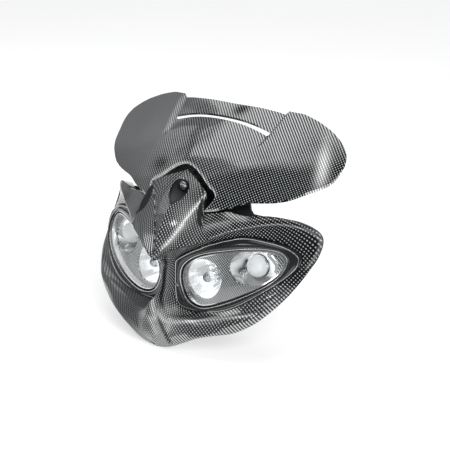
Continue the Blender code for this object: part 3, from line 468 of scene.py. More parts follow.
def screen_height(x, y):
    x = abs(x)
    column = [spline_1d(SCREEN_Y, row, y) for row in SCREEN_Z]
    keys = [-40.0] + list(SCREEN_X)          # the sheet is symmetric, so its crown is level
    return spline_1d(keys, [column[1]] + column, x)


# plan view (X, Y) of the right half: lower edge from the notch's roof to the wing tip, a guide line behind it,
# and the upper edge. Lines 7 and 8 carry the step between centre panel and wing.
SCREEN_LINES = [
    ((0, 4), (0, 12), (0, 92)),
    ((12, 3.2), (12.5, 11.5), (15, 92)),
    ((24, 1.4), (25, 10), (30, 91.8)),
    ((36, -1.2), (38, 8.2), (44, 91.5)),
    ((44, -2.2), (47.5, 6), (55, 91)),
    ((47.5, -4.6), (52, 3), (63, 90.7)),
    ((44.5, -9.5), (53.5, -1), (69, 90.4)),
    ((40, -14.5), (54, -5), (72.5, 90.3)),          # 7 point of the tooth; foot of the step
    ((49, -11.8), (58.5, -3), (76.5, 91.6)),          # 8 top of the step, corner of the wing
    ((60, -7.5), (67, 1), (85, 92.6)),
    ((72, -3), (77.5, 6), (94, 94)),
    ((86, 3.5), (90.5, 12), (104, 94.2)),
    ((101, 9.5), (104, 18), (115, 94)),
    ((115, 16), (117, 25), (126, 93)),
    ((128, 23.5), (128.5, 33), (137, 91.5)),
    ((140, 33.5), (139, 42.5), (147, 89)),
    ((151, 45), (149.5, 52.5), (155.5, 85.5)),
    ((159.5, 58), (157.5, 62.5), (161, 80.5)),
    ((163, 73.5), (163, 74), (163, 74.5)),
]
SCREEN_LEVELS = (None, 20, 30, 41, 53, 64.8, 68.8, 79, None)   # Y of the rows behind the guide line
SLOT_ROWS = (5, 6)
STEP_FOOT, STEP_TOP = 7, 8


def screen_row_share(k, gy, hy, u):
    """Where row k cuts the line from guide (Y gy) to upper edge (Y hy)."""
    level = SCREEN_LEVELS[k]
    if level is None:
        return 0.0 if k == 0 else 1.0
    plain = (level - 10) / 82
    exact = (level - gy) / (hy - gy) if hy - gy > 1 else plain
    w = min(max((u - 9) / 5, 0), 1)
    return exact * (1 - w) + plain * w


def screen_drop(u, y, k):
    """How far the sheet lies below the wings' surface on line u, row k (may be a fraction)."""
    foot = min(max(STEP_TOP - u, 0.0), 1.0)
    fade = min(max((y - 27) / 38.0, 0.0), 1.0)
    depth = PANEL_DROP * fade * fade * (3 - 2 * fade)
    if k <= SLOT_ROWS[0] + 0.001:
        near = min(max((y - 43) / 21.8, 0.0), 1.0)
        depth += SLOT_DROP * near * near * min(max(STEP_FOOT - u, 0.0), 1.0)
    return depth * foot


def screen_half(columns=1, steps=1):
    """Top face of the right half, with the vent slot left open."""
    low = curve([s[0] for s in SCREEN_LINES], corners=(7,))
    guide = curve([s[1] for s in SCREEN_LINES])
    high = curve([s[2] for s in SCREEN_LINES], corners=(8,))
    count = (len(SCREEN_LINES) - 1) * columns
    skin, rows = Skin(), []
    last = len(SCREEN_LEVELS) - 1
    ks = [i / steps for i in range(last * steps + 1)]
    for j in range(count + 1):
        u = j / columns
        a, g, h = low(u), guide(u), high(u)
        line = [(a[0], a[1], screen_height(a[0], a[1]))]
        for i in range(1, steps):
            p = a + (g - a) * i / steps
            line.append((p[0], p[1], screen_height(p[0], p[1])))
        for k in ks:
            k0 = min(int(k), last - 1)
            s0, s1 = screen_row_share(k0, g[1], h[1], u), screen_row_share(k0 + 1, g[1], h[1], u)
            share = s0 + (s1 - s0) * (k - k0)
            p = g + (h - g) * share
            line.append((p[0], p[1], screen_height(p[0], p[1]) - screen_drop(u, p[1], k)))
        rows.append(line)

    def open_slot(i, j):
        k = (j - steps) / steps
        return i / columns < STEP_FOOT - 0.01 and SLOT_ROWS[0] - 0.001 <= k < SLOT_ROWS[1] - 0.001

    skin.grid(rows, flip=True, hole=open_slot)
    return skin


# ---------------------------------------------------------------- lens unit (right-hand one; the left is its mirror)
LENS = [(17, -77), (14, -63), (18, -49), (31, -37), (47, -30), (64, -25.5), (82, -22), (98, -20.5), (112, -21), (122, -23.5), (129, -29.5), (130.5, -38), (126, -49), (113, -61), (92, -74), (70, -85), (50, -92.5), (35, -93), (24, -88)]


def bezel_outline(count):
    flat = evenly([s[0] for s in STATIONS[:-1]], count)
    return inset(flat, GAP)


def lens_outline(count):
    """The lens edge, its points matched by direction to those of the bezel's outline."""
    outer = bezel_outline(count)
    dense = evenly(LENS, 720)
    start = int(np.argmin([np.hypot(*(p - outer[0])) for p in dense]))
    area = lambda q: np.sum(q[:, 0] * np.roll(q[:, 1], -1) - np.roll(q[:, 0], -1) * q[:, 1])
    if area(dense) * area(outer) < 0:
        dense = dense[::-1]
        start = len(dense) - 1 - start
    dense = np.roll(dense, -start, 0)
    return dense[:: 720 // count][:count]


def bezel_skin(count=30):
    outer, inner = bezel_outline(count), inset(lens_outline(count), -0.5)
    skin = Skin()

    def loop(share, off):
        flat = inner + (outer - inner) * share
        return on_seat(flat, off)

    skin.ring([loop(0, -BEZEL_LIP), loop(0.35, -BEZEL_LIP - 0.6), loop(0.8, -1.6), loop(1, 0.6), loop(1, 7), loop(0, 7)], close=True)
    return skin


def lens_skin(count=30, rings=4):
    edge = lens_outline(count)
    centre = np.array([73.0, -56.0])
    skin = Skin()

    def dome(flat, share, off, rise):
        return [(x, seat(x, z, off - rise * (1 - share**3.0)), z) for x, z in flat]

    shares = [1 - k / rings for k in range(rings)]
    front = [dome(centre + (edge - centre) * s, s, -1.0, LENS_RISE) for s in shares]
    rear = [dome(centre + (inset(edge, LENS_T) - centre) * s, s, -1.0 + LENS_T * 0.7, LENS_RISE - 0.6) for s in shares]
    rear_edge = on_seat(inset(edge, LENS_T), 4.0)
    side = on_seat(edge, 4.0)
    skin.fan(front[-1], (centre[0], seat(*centre, -1.0 - LENS_RISE), centre[1]))
    skin.ring(front[::-1] + [side, rear_edge] + rear)
    skin.fan(rear[-1], (centre[0], seat(*centre, -1.0 + LENS_T * 0.7 - LENS_RISE + 0.6), centre[1]), flip=True)
    return skin


def seal_skin(count=30):
    edge = lens_outline(count)
    outer, inner = inset(edge, 0.2), inset(edge, 3.0)
    skin = Skin()
    skin.ring([on_seat(outer, 4.3), on_seat(inner, 4.3), on_seat(inner, 6.2), on_seat(outer, 6.2)], close=True)
    return skin


def panel_skin(count=30):
    """Decor panel behind the lens: a curved plate, its openings cut afterwards."""
    edge = inset(lens_outline(count), 0.6)
    centre = np.array([73.0, -56.0])
    skin = Skin()
    shares = (1, 0.7, 0.35)
    front = [on_seat(centre + (edge - centre) * s, 6.6) for s in shares]
    rear = [on_seat(centre + (edge - centre) * s, 8.6) for s in shares]
    skin.fan(front[-1], (centre[0], seat(*centre, 6.6), centre[1]))
    skin.ring(front[::-1] + rear)
    skin.fan(rear[-1], (centre[0], seat(*centre, 8.6), centre[1]), flip=True)
    return skin


def reflector_skin(centre, rx, rz, depth_y, hole, count=18, rings=3, wall=1.4, front=9.6):
    """A bowl whose rim follows the seat surface and whose floor has a round hole for the bulb."""
    skin = Skin()

    def loop(share, extra):
        out = []
        for k in range(count):
            c, s = math.cos(2 * math.pi * k / count), math.sin(2 * math.pi * k / count)
            x0, z0 = centre[0] + (rx + extra) * c, centre[1] + (rz + extra) * s
            rim = seat(x0, z0, front)
            hx, hz = centre[0] + (hole + extra) * c, centre[1] + (hole + extra) * s
            x, z = hx + (x0 - hx) * share, hz + (z0 - hz) * share
            y = depth_y + extra + (rim - depth_y - extra) * share**2
            out.append((x, y, z))
        return out

    shares = [k / rings for k in range(rings + 1)]
    skin.ring([loop(s, 0) for s in shares] + [loop(s, wall) for s in shares[::-1]], close=True)
    return skin


def housing_skin(count=30):
    """Open-fronted bucket behind the bezel."""
    rim = bezel_outline(count)
    centre = np.array([70.0, -57.0])
    wall = 1.7

    def back_loop(extra, y):
        flat = centre + (inset(rim, extra) - centre) * 0.8
        return [(x, y, z) for x, z in flat]

    def mid_loop(extra, k):
        flat = centre + (inset(rim, extra) - centre) * (0.975 - 0.04 * k)
        return [(x, seat(x, z, 8) * (1 - 0.45 * k) + REAR_Y * 0.45 * k, z) for x, z in flat]

    skin = Skin()
    flange = [on_seat(inset(rim, 0.8 + wall), 7.8), on_seat(inset(rim, -0.9), 7.8), on_seat(inset(rim, -0.9), 9.6), on_seat(inset(rim, 0.4), 9.6)]
    outside = [mid_loop(0.8, 1), back_loop(0.8, REAR_Y)]
    inside = [mid_loop(0.8 + wall, 1), back_loop(0.8 + wall, REAR_Y - wall)]
    skin.cap(outside[-1])
    skin.ring(outside[::-1] + flange[::-1] + inside)
    skin.cap(inside[-1], flip=True)
    return skin


# ---------------------------------------------------------------- carrier, frame and fasteners
def prism_x(outline, x0, x1):
    """A rib: an outline in Y and Z between two X planes."""
    skin = Skin()
    n = len(outline)
    skin.verts = [(x0, y, z) for y, z in outline] + [(x1, y, z) for y, z in outline]
    skin.faces = [tuple(range(n)), tuple(range(2 * n - 1, n - 1, -1))]
    skin.faces += [(j, n + j, n + (j + 1) % n, (j + 1) % n) for j in range(n)]
    return skin


def plate_z(outline, z0, z1):
    """A level plate: an outline in X and Y between two heights."""
    skin = Skin()
    n = len(outline)
    skin.verts = [(x, y, z0) for x, y in outline] + [(x, y, z1) for x, y in outline]
    skin.faces = [tuple(range(n)), tuple(range(2 * n - 1, n - 1, -1))]
    skin.faces += [(j, n + j, n + (j + 1) % n, (j + 1) % n) for j in range(n)]
    return skin


def tilted(skin, angle, pivot):
    """The skin turned about an X axis through pivot (Y, Z)."""
    out = Skin()
    c, s = math.cos(angle), math.sin(angle)
    out.verts = [
        (x, pivot[0] + (y - pivot[0]) * c - (z - pivot[1]) * s, pivot[1] + (y - pivot[0]) * s + (z - pivot[1]) * c)
        for x, y, z in skin.verts
    ]
    out.faces = list(skin.faces)
    return out


def upright(profile, x, y, count=16):
    """A solid turned about a vertical axis; profile runs as (radius, Z)."""
    flat = turned([(r, z) for r, z in profile], (0, 0), count)
    out = Skin()
    out.verts = [(x + a, y + b, h) for a, h, b in flat.verts]
    out.faces = [f[::-1] for f in flat.faces]
    return out


NOSE_PIVOT = (4.6, NOSE_Z)      # rear face of the nose plug on the screw's axis (Y, Z)
NOSE_FLOOR = 4.7                # thickness of the bore's floor


def nose_plug(bvh):
    """Solid plug behind the nose skin, its front just under the outer face; the bore is cut from it."""
    count, wide, high, top = 24, NOSE_BORE_X + WALL, NOSE_BORE + WALL, 9.6
    c, s = math.cos(NOSE_TILT), math.sin(NOSE_TILT)
    forward = Vector((0, -c, -s))
    up = Vector((0, -s, c))
    base = Vector((0, NOSE_PIVOT[0], NOSE_PIVOT[1]))

    def depth(start):
        hit = bvh.ray_cast(start, forward)
        return hit[3] if hit[0] is not None else 12.0

    rear, front = [], []
    for k in range(count):
        a = 2 * math.pi * k / count
        p = base + Vector((1, 0, 0)) * wide * math.cos(a) + up * min(high * math.sin(a), top)
        rear.append(tuple(p))
        front.append(tuple(p + forward * max(depth(p) - 1.2, 0.3)))
    skin = Skin()
    skin.fan(rear, tuple(base), flip=True)
    skin.ring([rear, front])
    skin.fan(front, tuple(base + forward * (depth(base) - 1.6)))
    return skin


def nose_recess(y0, count=24):
    """What is cut from the plug: an oval recess to the floor at y0, and the screw's clearance hole behind it."""
    skin = turned([(0, y0 - 50), (1, y0 - 50), (1, y0), (0.3, y0), (0.3, y0 + 12), (0, y0 + 12)], (0, 0), count)
    out = Skin()
    for x, y, z in skin.verts:
        small = math.hypot(x, z) < 0.5
        out.verts.append((x * 3.3 / 0.3, y, NOSE_Z + z * 3.3 / 0.3) if small else (x * NOSE_BORE_X, y, NOSE_Z + z * NOSE_BORE))
    out.faces = skin.faces
    return out


def screw_skin(axis_at, y_head, length, head_r, head_h, shank_r, count=16, drive=0.0):
    """Button-head screw along Y, its head towards the front (-Y)."""
    y0 = y_head
    return turned([
        (0, y0 + drive), (head_r * 0.38, y0 + drive), (head_r * 0.38, y0), (head_r * 0.62, y0 + head_h * 0.12),
        (head_r, y0 + head_h * 0.75), (head_r, y0 + head_h), (shank_r, y0 + head_h), (shank_r, y0 + head_h + length), (0, y0 + head_h + length),
    ], axis_at, count)


def rear_screw(axis_at, y_face, length, head_r, head_h, shank_r, count=12):
    """Hexagon-head screw along Y that is put in from the back."""
    return turned([
        (0, y_face - length), (shank_r, y_face - length), (shank_r, y_face), (head_r, y_face), (head_r, y_face + head_h), (0, y_face + head_h),
    ], axis_at, count)


CARRIER_WALL = (29.0, 32.0)
SHELF = (-11.0, -8.0)
CARRIER_OUTLINE = [(0, -11), (72, -11), (76, -2.9), (109, -2.9), (109, 5), (106, 8), (74, 8), (70.5, 12), (66, 55), (40, 64), (0, 72)]
SCREEN_SCREW = (37.0, 38.0)     # screws that hold the flyscreen from below (X, Y)
SCREEN_TAB = (58.0, 61.0)       # Z of the carrier's tabs under them
FRAME_OUTLINE = [(0, -88), (76, -88), (86, -70), (116, -66), (116, -22), (70, -20), (60, -11.35), (0, -11.35)]
FRAME_SCREWS = [("lower", 67.0, -75.0), ("upper", 68.0, -32.0)]
FLANGE_SCREW = (42.0, 59.0)     # carrier to frame (X, Y)
FIXING_HOLES = [(14.0, -34.0), (14.0, -76.0)]   # for the bolts to the motorcycle's brackets (X, Z)
TAB_SCREW = (10.6, -73.5)       # small screw at the inner end of each lens unit (X, Z)


def mirrored_outline(half):
    """Full outline from its right half, which runs from bottom to top and starts and ends on X = 0."""
    return half + [(-x, z) for x, z in half[::-1] if x > 0]


def flipped(skin):
    out = Skin()
    out.verts = [(-x, y, z) for x, y, z in skin.verts]
    out.faces = [tuple(f)[::-1] for f in skin.faces]
    return out


def rod(x, z, r, y0, y1, count=16):
    return turned([(0, y0), (r, y0), (r, y1), (0, y1)], (x, z), count)


def post(x, y, r, z0, z1, count=16):
    return upright([(0, z0), (r, z0), (r, z1), (0, z1)], x, y, count)


def screen_boss(x, y, r, z0, depth, count=12):
    """Upright boss whose top follows the sheet, a depth below its face."""
    around = [(x + r * math.cos(2 * math.pi * k / count), y + r * math.sin(2 * math.pi * k / count)) for k in range(count)]
    skin = Skin()
    low = [(a, b, z0) for a, b in around]
    high = [(a, b, screen_height(a, b) - screen_drop(0, b, 0) - depth) for a, b in around]
    skin.cap(low)
    skin.ring([low, high])
    skin.fan(high, (x, y, screen_height(x, y) - screen_drop(0, y, 0) - depth))
    return skin


def boot_skin(centre, count=12):
    """Rubber cap, open to the housing."""
    return turned([
        (0, 66), (8.6, 66), (9.4, 65), (10, 58), (13.6, 56.5), (15, 54.5), (15, 48.9),
        (12.4, 48.9), (12.4, 53), (8.6, 56), (7.9, 63), (0, 63),
    ], centre, count)


def bulb_skin(centre, count=12):
    """Capsule bulb with its collar and base."""
    return turned([
        (0, -14), (3.4, -13.2), (5.5, -10.5), (6, -7), (6, 8.5), (6.9, 9.5), (6.9, 17),
        (10.2, 17), (10.2, 19.5), (7, 19.5), (7, 56), (0, 56),
    ], centre, count)


def barrel_skin(centre, count=16):
    """Projector barrel behind the auxiliary lamp's glass."""
    return turned([
        (0, 14.4), (12.2, 14.4), (12.6, 14.9), (12.6, 24), (9.5, 30), (7, 34), (7, 56), (0, 56),
    ], centre, count)


def dome_skin(centre, count=16):
    """Thick round glass in front of the barrel."""
    return turned([(0, 1.0), (5, 1.9), (9, 4.6), (11.6, 8.6), (12.4, 12), (12.4, 14), (0, 14)], centre, count)


def solidify(obj, thickness):
    mod = obj.modifiers.new("wall", "SOLIDIFY")
    mod.thickness = thickness / 1000
    mod.offset = -1


def shape(obj, tools):
    """Boolean steps in order: (kind, skin)."""
    for k, (kind, skin) in enumerate(tools):
        cut(obj, skin, f"{obj.name}_tool_{k}", kind)
    return obj


# ================================================================ finer shapes
def fillet(profile, radius=0.5, steps=3, closed=False):
    """The profile with its inner corners rounded; the ends of an open profile stay."""
    pts = [np.array(p, float) for p in profile]
    n = len(pts)
    out = []
    for i, p in enumerate(pts):
        if not closed and i in (0, n - 1):
            out.append(tuple(p))
            continue
        a, b = pts[i - 1] - p, pts[(i + 1) % n] - p
        la, lb = np.linalg.norm(a), np.linalg.norm(b)
        if la < 1e-6 or lb < 1e-6:
            continue
        r = min(radius, la * 0.42, lb * 0.42)
        cosine = float(a @ b) / (la * lb)
        if cosine < -0.995 or r < 0.02:
            out.append(tuple(p))
            continue
        q0, q1 = p + a / la * r, p + b / lb * r
        for k in range(steps + 1):
            t = k / steps
            out.append(tuple(q0 * (1 - t) ** 2 + 2 * p * t * (1 - t) + q1 * t * t))
    return out


def lathe(profile, centre, count=48, radius=0.5, steps=3):
    """A turned solid whose corners are rounded; profile from axis to axis."""
    skin = turned(fillet(profile, radius, steps), centre, count)
    return skin


def upright_lathe(profile, x, y, count=40, radius=0.4, steps=3):
    return upright(fillet(profile, radius, steps), x, y, count)


def evaluated(obj):
    """The object's modifiers applied, its helper bodies removed."""
    bpy.context.view_layer.update()
    graph = bpy.context.evaluated_depsgraph_get()
    mesh = bpy.data.meshes.new_from_object(obj.evaluated_get(graph), preserve_all_data_layers=True, depsgraph=graph)
    helpers = [m.object for m in obj.modifiers if m.type == "BOOLEAN"]
    obj.modifiers.clear()
    obj.data = mesh
    for helper in helpers:
        bpy.data.objects.remove(helper, do_unlink=True)
    return obj


def clean(obj):
    """Points that fall together made one, and loose bits dropped."""
    bm = bmesh.new()
    bm.from_mesh(obj.data)
    bmesh.ops.remove_doubles(bm, verts=bm.verts, dist=2e-6)
    bmesh.ops.dissolve_degenerate(bm, edges=bm.edges, dist=1e-6)
    loose = [v for v in bm.verts if not v.link_faces]
    bmesh.ops.delete(bm, geom=loose, context="VERTS")
    bm.to_mesh(obj.data)
    bm.free()


def bevelled(obj, width, segments=2, angle=35):
    mod = obj.modifiers.new("edges", "BEVEL")
    mod.width = width / 1000
    mod.segments = segments
    mod.limit_method = "ANGLE"
    mod.angle_limit = math.radians(angle)
    mod.use_clamp_overlap = True
    mod.harden_normals = False
    return evaluated(obj)


def finish(obj, nodes, materials, smooth=35, bevel=0.0):
    """Applies the modifiers, rounds the edges, sets the shading and ties the piece to the frame."""
    evaluated(obj)
    if bevel:
        clean(obj)
        bevelled(obj, bevel)
    clean(obj)
    obj.data.shade_smooth()
    obj.data.set_sharp_from_angle(angle=math.radians(smooth))
    while len(obj.data.materials) < len(materials):
        obj.data.materials.append(None)
    for k, mat in enumerate(materials):
        obj.data.materials[k] = mat
    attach(obj, "root")
    if nodes:
        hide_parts(*nodes)
    return obj


def sides():
    return (("right", lambda s: s), ("left", flipped))


def both(name, skin, nodes, materials, tools=(), smooth=35, bevel=0.0, prepare=None):
    """The right-hand piece and its mirror image."""
    made = []
    for side, turn in sides():
        obj = to_object(f"vis_{name}_{side}", turn(skin), materials[0], smooth=smooth)
        if prepare:
            prepare(obj)
        shape(obj, [(kind, turn(tool)) for kind, tool in tools])
        made.append(finish(obj, [f"{n}_{side}" for n in nodes], materials, smooth, bevel))
    return made


# ---------------------------------------------------------------- film coordinates
PITCH = 2.85           # mm from one light cell of the woven look to the next
FILM_TURN = math.radians(45)


def film_unwrap(obj, upright_axis, turn=FILM_TURN, pitch=PITCH):
    """Film coordinates in cells: the open skin unrolled with its angles kept, then scaled and turned.
    upright_axis is the (Y, Z) direction that counts as up on the film."""
    mesh = obj.data
    layer = mesh.uv_layers.new(name="weave")
    for other in bpy.context.view_layer.objects:
        other.select_set(False)
    bpy.context.view_layer.objects.active = obj
    obj.select_set(True)
    bpy.ops.object.mode_set(mode="EDIT")
    bpy.ops.mesh.select_all(action="SELECT")
    bpy.ops.uv.select_all(action="SELECT")
    bpy.ops.uv.unwrap(method="CONFORMAL", fill_holes=True, margin=0.001)
    bpy.ops.object.mode_set(mode="OBJECT")
    obj.select_set(False)
    layer = obj.data.uv_layers["weave"]
    n = len(obj.data.loops)
    uv = np.empty(n * 2)
    layer.uv.foreach_get("vector", uv)
    uv = uv.reshape(-1, 2)
    index = np.empty(n, int)
    obj.data.loops.foreach_get("vertex_index", index)
    co = np.empty(len(obj.data.vertices) * 3)
    obj.data.vertices.foreach_get("co", co)
    co = co.reshape(-1, 3)[index] * 1000
    flat = np.stack([co[:, 0], co[:, 1] * upright_axis[0] + co[:, 2] * upright_axis[1]], 1)
    # the turn and mirror that bring the unrolled film closest to the flat view
    a, b = uv - uv.mean(0), flat - flat.mean(0)
    u, _, vt = np.linalg.svd(a.T @ b)
    turned_uv = a @ (u @ vt)
    # true size: the skin's area against the film's
    area3 = area2 = 0.0
    for poly in obj.data.polygons:
        loops = list(poly.loop_indices)
        q = turned_uv[loops]
        area2 += abs(0.5 * float(np.sum(q[:, 0] * np.roll(q[:, 1], -1) - np.roll(q[:, 0], -1) * q[:, 1])))
        area3 += poly.area * 1e6
    turned_uv *= math.sqrt(area3 / max(area2, 1e-12))
    c, s = math.cos(turn), math.sin(turn)
    out = np.stack([turned_uv[:, 0] * c + turned_uv[:, 1] * s, turned_uv[:, 0] * -s + turned_uv[:, 1] * c], 1) / pitch
    layer.uv.foreach_set("vector", out.astype(np.float32).ravel())
    obj.data.uv_layers.active = layer


def stretch_film(obj, tips, most, reach):
    """Draws the film's cells out towards the ear tips, as where the sheet is pulled over them."""
    layer = obj.data.uv_layers["weave"]
    n = len(obj.data.loops)
    uv = np.empty(n * 2)
    layer.uv.foreach_get("vector", uv)
    uv = uv.reshape(-1, 2)
    index = np.empty(n, int)
    obj.data.loops.foreach_get("vertex_index", index)
    co = np.empty(len(obj.data.vertices) * 3)
    obj.data.vertices.foreach_get("co", co)
    co = (co.reshape(-1, 3) * 1000 + np.array(ORIGIN))[index]
    out = uv.copy()
    for tip in tips:
        centre = uv[int(np.argmin(np.linalg.norm(co - np.array(tip), axis=1)))]
        rel = uv - centre
        far = np.maximum(np.linalg.norm(rel, axis=1), 1e-9)
        drawn = far - most * reach * (1 - np.exp(-far / reach))
        same_side = soft_step(0, 30, co[:, 0] * (1 if tip[0] > 0 else -1))
        out += (rel * ((drawn / far) - 1)[:, None]) * same_side[:, None]
    layer.uv.foreach_set("vector", out.astype(np.float32).ravel())


def soft_step(a, b, v):
    """0 where v is at a, 1 where it is at b, with soft ends."""
    t = np.clip((v - a) / (b - a), 0.0, 1.0)
    return t * t * (3 - 2 * t)


def paint(obj, name, field):
    """A value at each point of the piece, from a function of its place in millimetres."""
    n = len(obj.data.vertices)
    co = np.empty(n * 3)
    obj.data.vertices.foreach_get("co", co)
    co = co.reshape(-1, 3) * 1000 + np.array(ORIGIN)
    layer = obj.data.attributes.new(name=name, type="FLOAT", domain="POINT")
    layer.data.foreach_set("value", np.clip(field(co[:, 0], co[:, 1], co[:, 2]), 0.0, 2.0).astype(np.float32))


def blob(x, y, z, centre, size):
    return np.exp(-sum(((q - c) / s) ** 2 for q, c, s in zip((x, y, z), centre, size)))


def near_line(x, y, z, points, width):
    """1 on a line through the points, falling off with the distance."""
    far = np.full(x.shape, 1e9)
    for p, q in zip(points, points[1:]):
        p, q = np.array(p, float), np.array(q, float)
        d = q - p
        rel = np.stack([x - p[0], y - p[1], z - p[2]], 1)
        t = np.clip(rel @ d / max(float(d @ d), 1e-9), 0, 1)
        far = np.minimum(far, np.linalg.norm(rel - t[:, None] * d, axis=1))
    return np.exp(-((far / width) ** 2))


def film_flat(obj, turn=FILM_TURN, pitch=PITCH):
    """Film coordinates laid straight on from the front."""
    layer = obj.data.uv_layers.new(name="weave")
    c, s = math.cos(turn), math.sin(turn)
    out = np.empty((len(obj.data.loops), 2), np.float32)
    for k, loop in enumerate(obj.data.loops):
        p = obj.data.vertices[loop.vertex_index].co * 1000
        out[k] = ((p.x * c + p.z * s) / pitch, (-p.x * s + p.z * c) / pitch)
    layer.uv.foreach_set("vector", out.ravel())


# ================================================================ materials
class Nodes:
    """A small helper that adds nodes and links them."""

    def __init__(self, name):
        self.mat = bpy.data.materials.new(name)
        self.mat.use_nodes = True
        self.tree = self.mat.node_tree
        self.tree.nodes.clear()
        self.out = self.tree.nodes.new("ShaderNodeOutputMaterial")

    def add(self, kind, values=None, **settings):
        node = self.tree.nodes.new(kind)
        for key, value in settings.items():
            setattr(node, key, value)
        for key, value in (values or {}).items():
            self.put(node, key, value)
        return node

    def put(self, node, key, value):
        if isinstance(value, bpy.types.NodeSocket):
            self.tree.links.new(value, node.inputs[key])
        else:
            node.inputs[key].default_value = value

    def math(self, operation, a, b=None, clamp=False):
        node = self.add("ShaderNodeMath", operation=operation, use_clamp=clamp)
        self.put(node, 0, a)
        if b is not None:
            self.put(node, 1, b)
        return node.outputs[0]

    def ramp(self, value, lo, hi, to_lo=0.0, to_hi=1.0, smooth=True):
        node = self.add("ShaderNodeMapRange", interpolation_type="SMOOTHSTEP" if smooth else "LINEAR")
        for key, v in (("Value", value), ("From Min", lo), ("From Max", hi), ("To Min", to_lo), ("To Max", to_hi)):
            self.put(node, key, v)
        return node.outputs["Result"]

    def mix(self, fac, a, b):
        node = self.add("ShaderNodeMix", data_type="RGBA")
        self.put(node, 0, fac)
        self.put(node, 6, a)
        self.put(node, 7, b)
        return node.outputs[2]

    def coords(self, scale=1.0):
        tex = self.add("ShaderNodeTexCoord")
        if scale == 1.0:
            return tex.outputs["Object"]
        node = self.add("ShaderNodeMapping")
        self.put(node, "Vector", tex.outputs["Object"])
        node.inputs["Scale"].default_value = (scale,) * 3 if isinstance(scale, (int, float)) else scale
        return node.outputs[0]

    def noise(self, vector, scale, detail=3.0, rough=0.55):
        node = self.add("ShaderNodeTexNoise", {"Scale": scale, "Detail": detail, "Roughness": rough})
        self.put(node, "Vector", vector)
        return node.outputs["Fac"]

    def bump(self, height, strength, distance):
        return self.add("ShaderNodeBump", {"Height": height, "Strength": strength, "Distance": distance}).outputs[0]

    def principled(self, **values):
        node = self.add("ShaderNodeBsdfPrincipled")
        for key, value in values.items():
            self.put(node, key.replace("_", " "), value)
        return node

    def done(self, shader):
        self.tree.links.new(shader.outputs[0] if hasattr(shader, "outputs") else shader, self.out.inputs["Surface"])
        return self.mat


def make_carbon(name="film_carbon_look", lit_copy_gain=1.0):
    """Woven-look film under a glossy clear coat: light cells in a staggered grid, rows of shiny strands between. Point
    attributes paint light on it: painted shade on the strands, the coat and the light cells, a painted plain sheen,
    and emission for painted highlights; a gain above one makes a brighter, lit copy.
    """
    n = Nodes(name)
    uv = n.add("ShaderNodeUVMap", uv_map="weave").outputs[0]
    where = n.coords()
    sep = n.add("ShaderNodeSeparateXYZ", {"Vector": uv})
    wander = n.noise(where, 55.0, 2.0)
    wobble = n.math("MULTIPLY", n.math("SUBTRACT", wander, 0.5), 0.35)
    u = n.math("ADD", sep.outputs[0], wobble)
    v = n.math("SUBTRACT", sep.outputs[1], wobble)
    across = n.math("MULTIPLY", n.math("ABSOLUTE", n.math("SUBTRACT", n.math("FRACT", u), 0.5)), 2.0)
    along = n.math("MULTIPLY", n.math("ABSOLUTE", n.math("SUBTRACT", n.math("FRACT", v), 0.5)), 2.0)
    strand = n.ramp(across, 0.34, 0.52, 1.0, 0.0)
    cell = n.math("MULTIPLY", n.ramp(across, 0.26, 0.44, 1.0, 0.0), n.ramp(along, 0.26, 0.44, 1.0, 0.0))
    cloudy = n.ramp(n.noise(where, 24.0, 3.0), 0.3, 0.7, 0.82, 1.0)
    fibre = n.noise(n.add("ShaderNodeMapping", {"Vector": uv, "Scale": (14.0, 1.6, 1.0)}).outputs[0], 1.0, 2.0)
    grain = n.ramp(fibre, 0.3, 0.7, 0.75, 1.05)
    dark = n.mix(n.noise(where, 90.0, 2.0), (0.003, 0.004, 0.005, 1), (0.008, 0.010, 0.011, 1))
    shiny = n.mix(grain, (0.30 * lit_copy_gain, 0.305 * lit_copy_gain, 0.31 * lit_copy_gain, 1), (0.55 * lit_copy_gain, 0.555 * lit_copy_gain, 0.56 * lit_copy_gain, 1))
    # Painted shade: a point attribute darkens the shiny strands and turns down the coat, and above 1 it also dims the
    # light cells
    full_shade = n.add("ShaderNodeAttribute", attribute_name="shade").outputs["Fac"]
    shade = n.math("MINIMUM", full_shade, 1.0)
    light = n.mix(cloudy, (0.42, 0.435, 0.44, 1), (0.62, 0.64, 0.645, 1))
    light = n.mix(n.ramp(full_shade, 1.0, 1.9), light, (0.020, 0.022, 0.023, 1))
    calm = n.add("ShaderNodeAttribute", attribute_name="calm").outputs["Fac"]
    glow = n.add("ShaderNodeAttribute", attribute_name="glow").outputs["Fac"]
    unshaded_share = n.math("SUBTRACT", 1.0, n.math("MULTIPLY", shade, 0.97))
    lit_strand = n.math("MULTIPLY", strand, unshaded_share)
    woven = n.mix(cell, n.mix(lit_strand, dark, shiny), light)
    # Painted plain sheen: where a point attribute asks, the weave gives way to plain glossy grey without metal, as the
    # left side reads under this light
    plain = n.mix(cloudy, (0.060, 0.064, 0.066, 1), (0.080, 0.085, 0.087, 1))
    base = n.mix(calm, woven, plain)
    metal = n.math("MULTIPLY", n.math("MULTIPLY", lit_strand, n.math("SUBTRACT", 1.0, cell)), n.math("SUBTRACT", 1.0, calm))
    rough = n.ramp(strand, 0.0, 1.0, 0.5, 0.17)
    round_top = n.math("SUBTRACT", 1.0, n.math("MULTIPLY", across, across))
    peel = n.noise(where, 160.0, 2.0)
    # Painted highlights: emission from a point attribute, strongest on the strands and cells
    spark = n.math("MULTIPLY", glow, n.ramp(n.math("MAXIMUM", strand, cell), 0.0, 1.0, 0.5, 1.0))
    shader = n.principled(
        Base_Color=base, Metallic=metal, Roughness=rough, Normal=n.bump(round_top, 0.35, 0.00012),
        Specular_IOR_Level=n.math("MULTIPLY", unshaded_share, 0.5), Emission_Color=(1, 1, 1, 1), Emission_Strength=spark,
        Coat_Weight=unshaded_share, Coat_Roughness=n.ramp(peel, 0.3, 0.7, 0.03, 0.07), Coat_IOR=1.42, Coat_Normal=n.bump(peel, 0.04, 0.0002),
    )
    return n.done(shader)


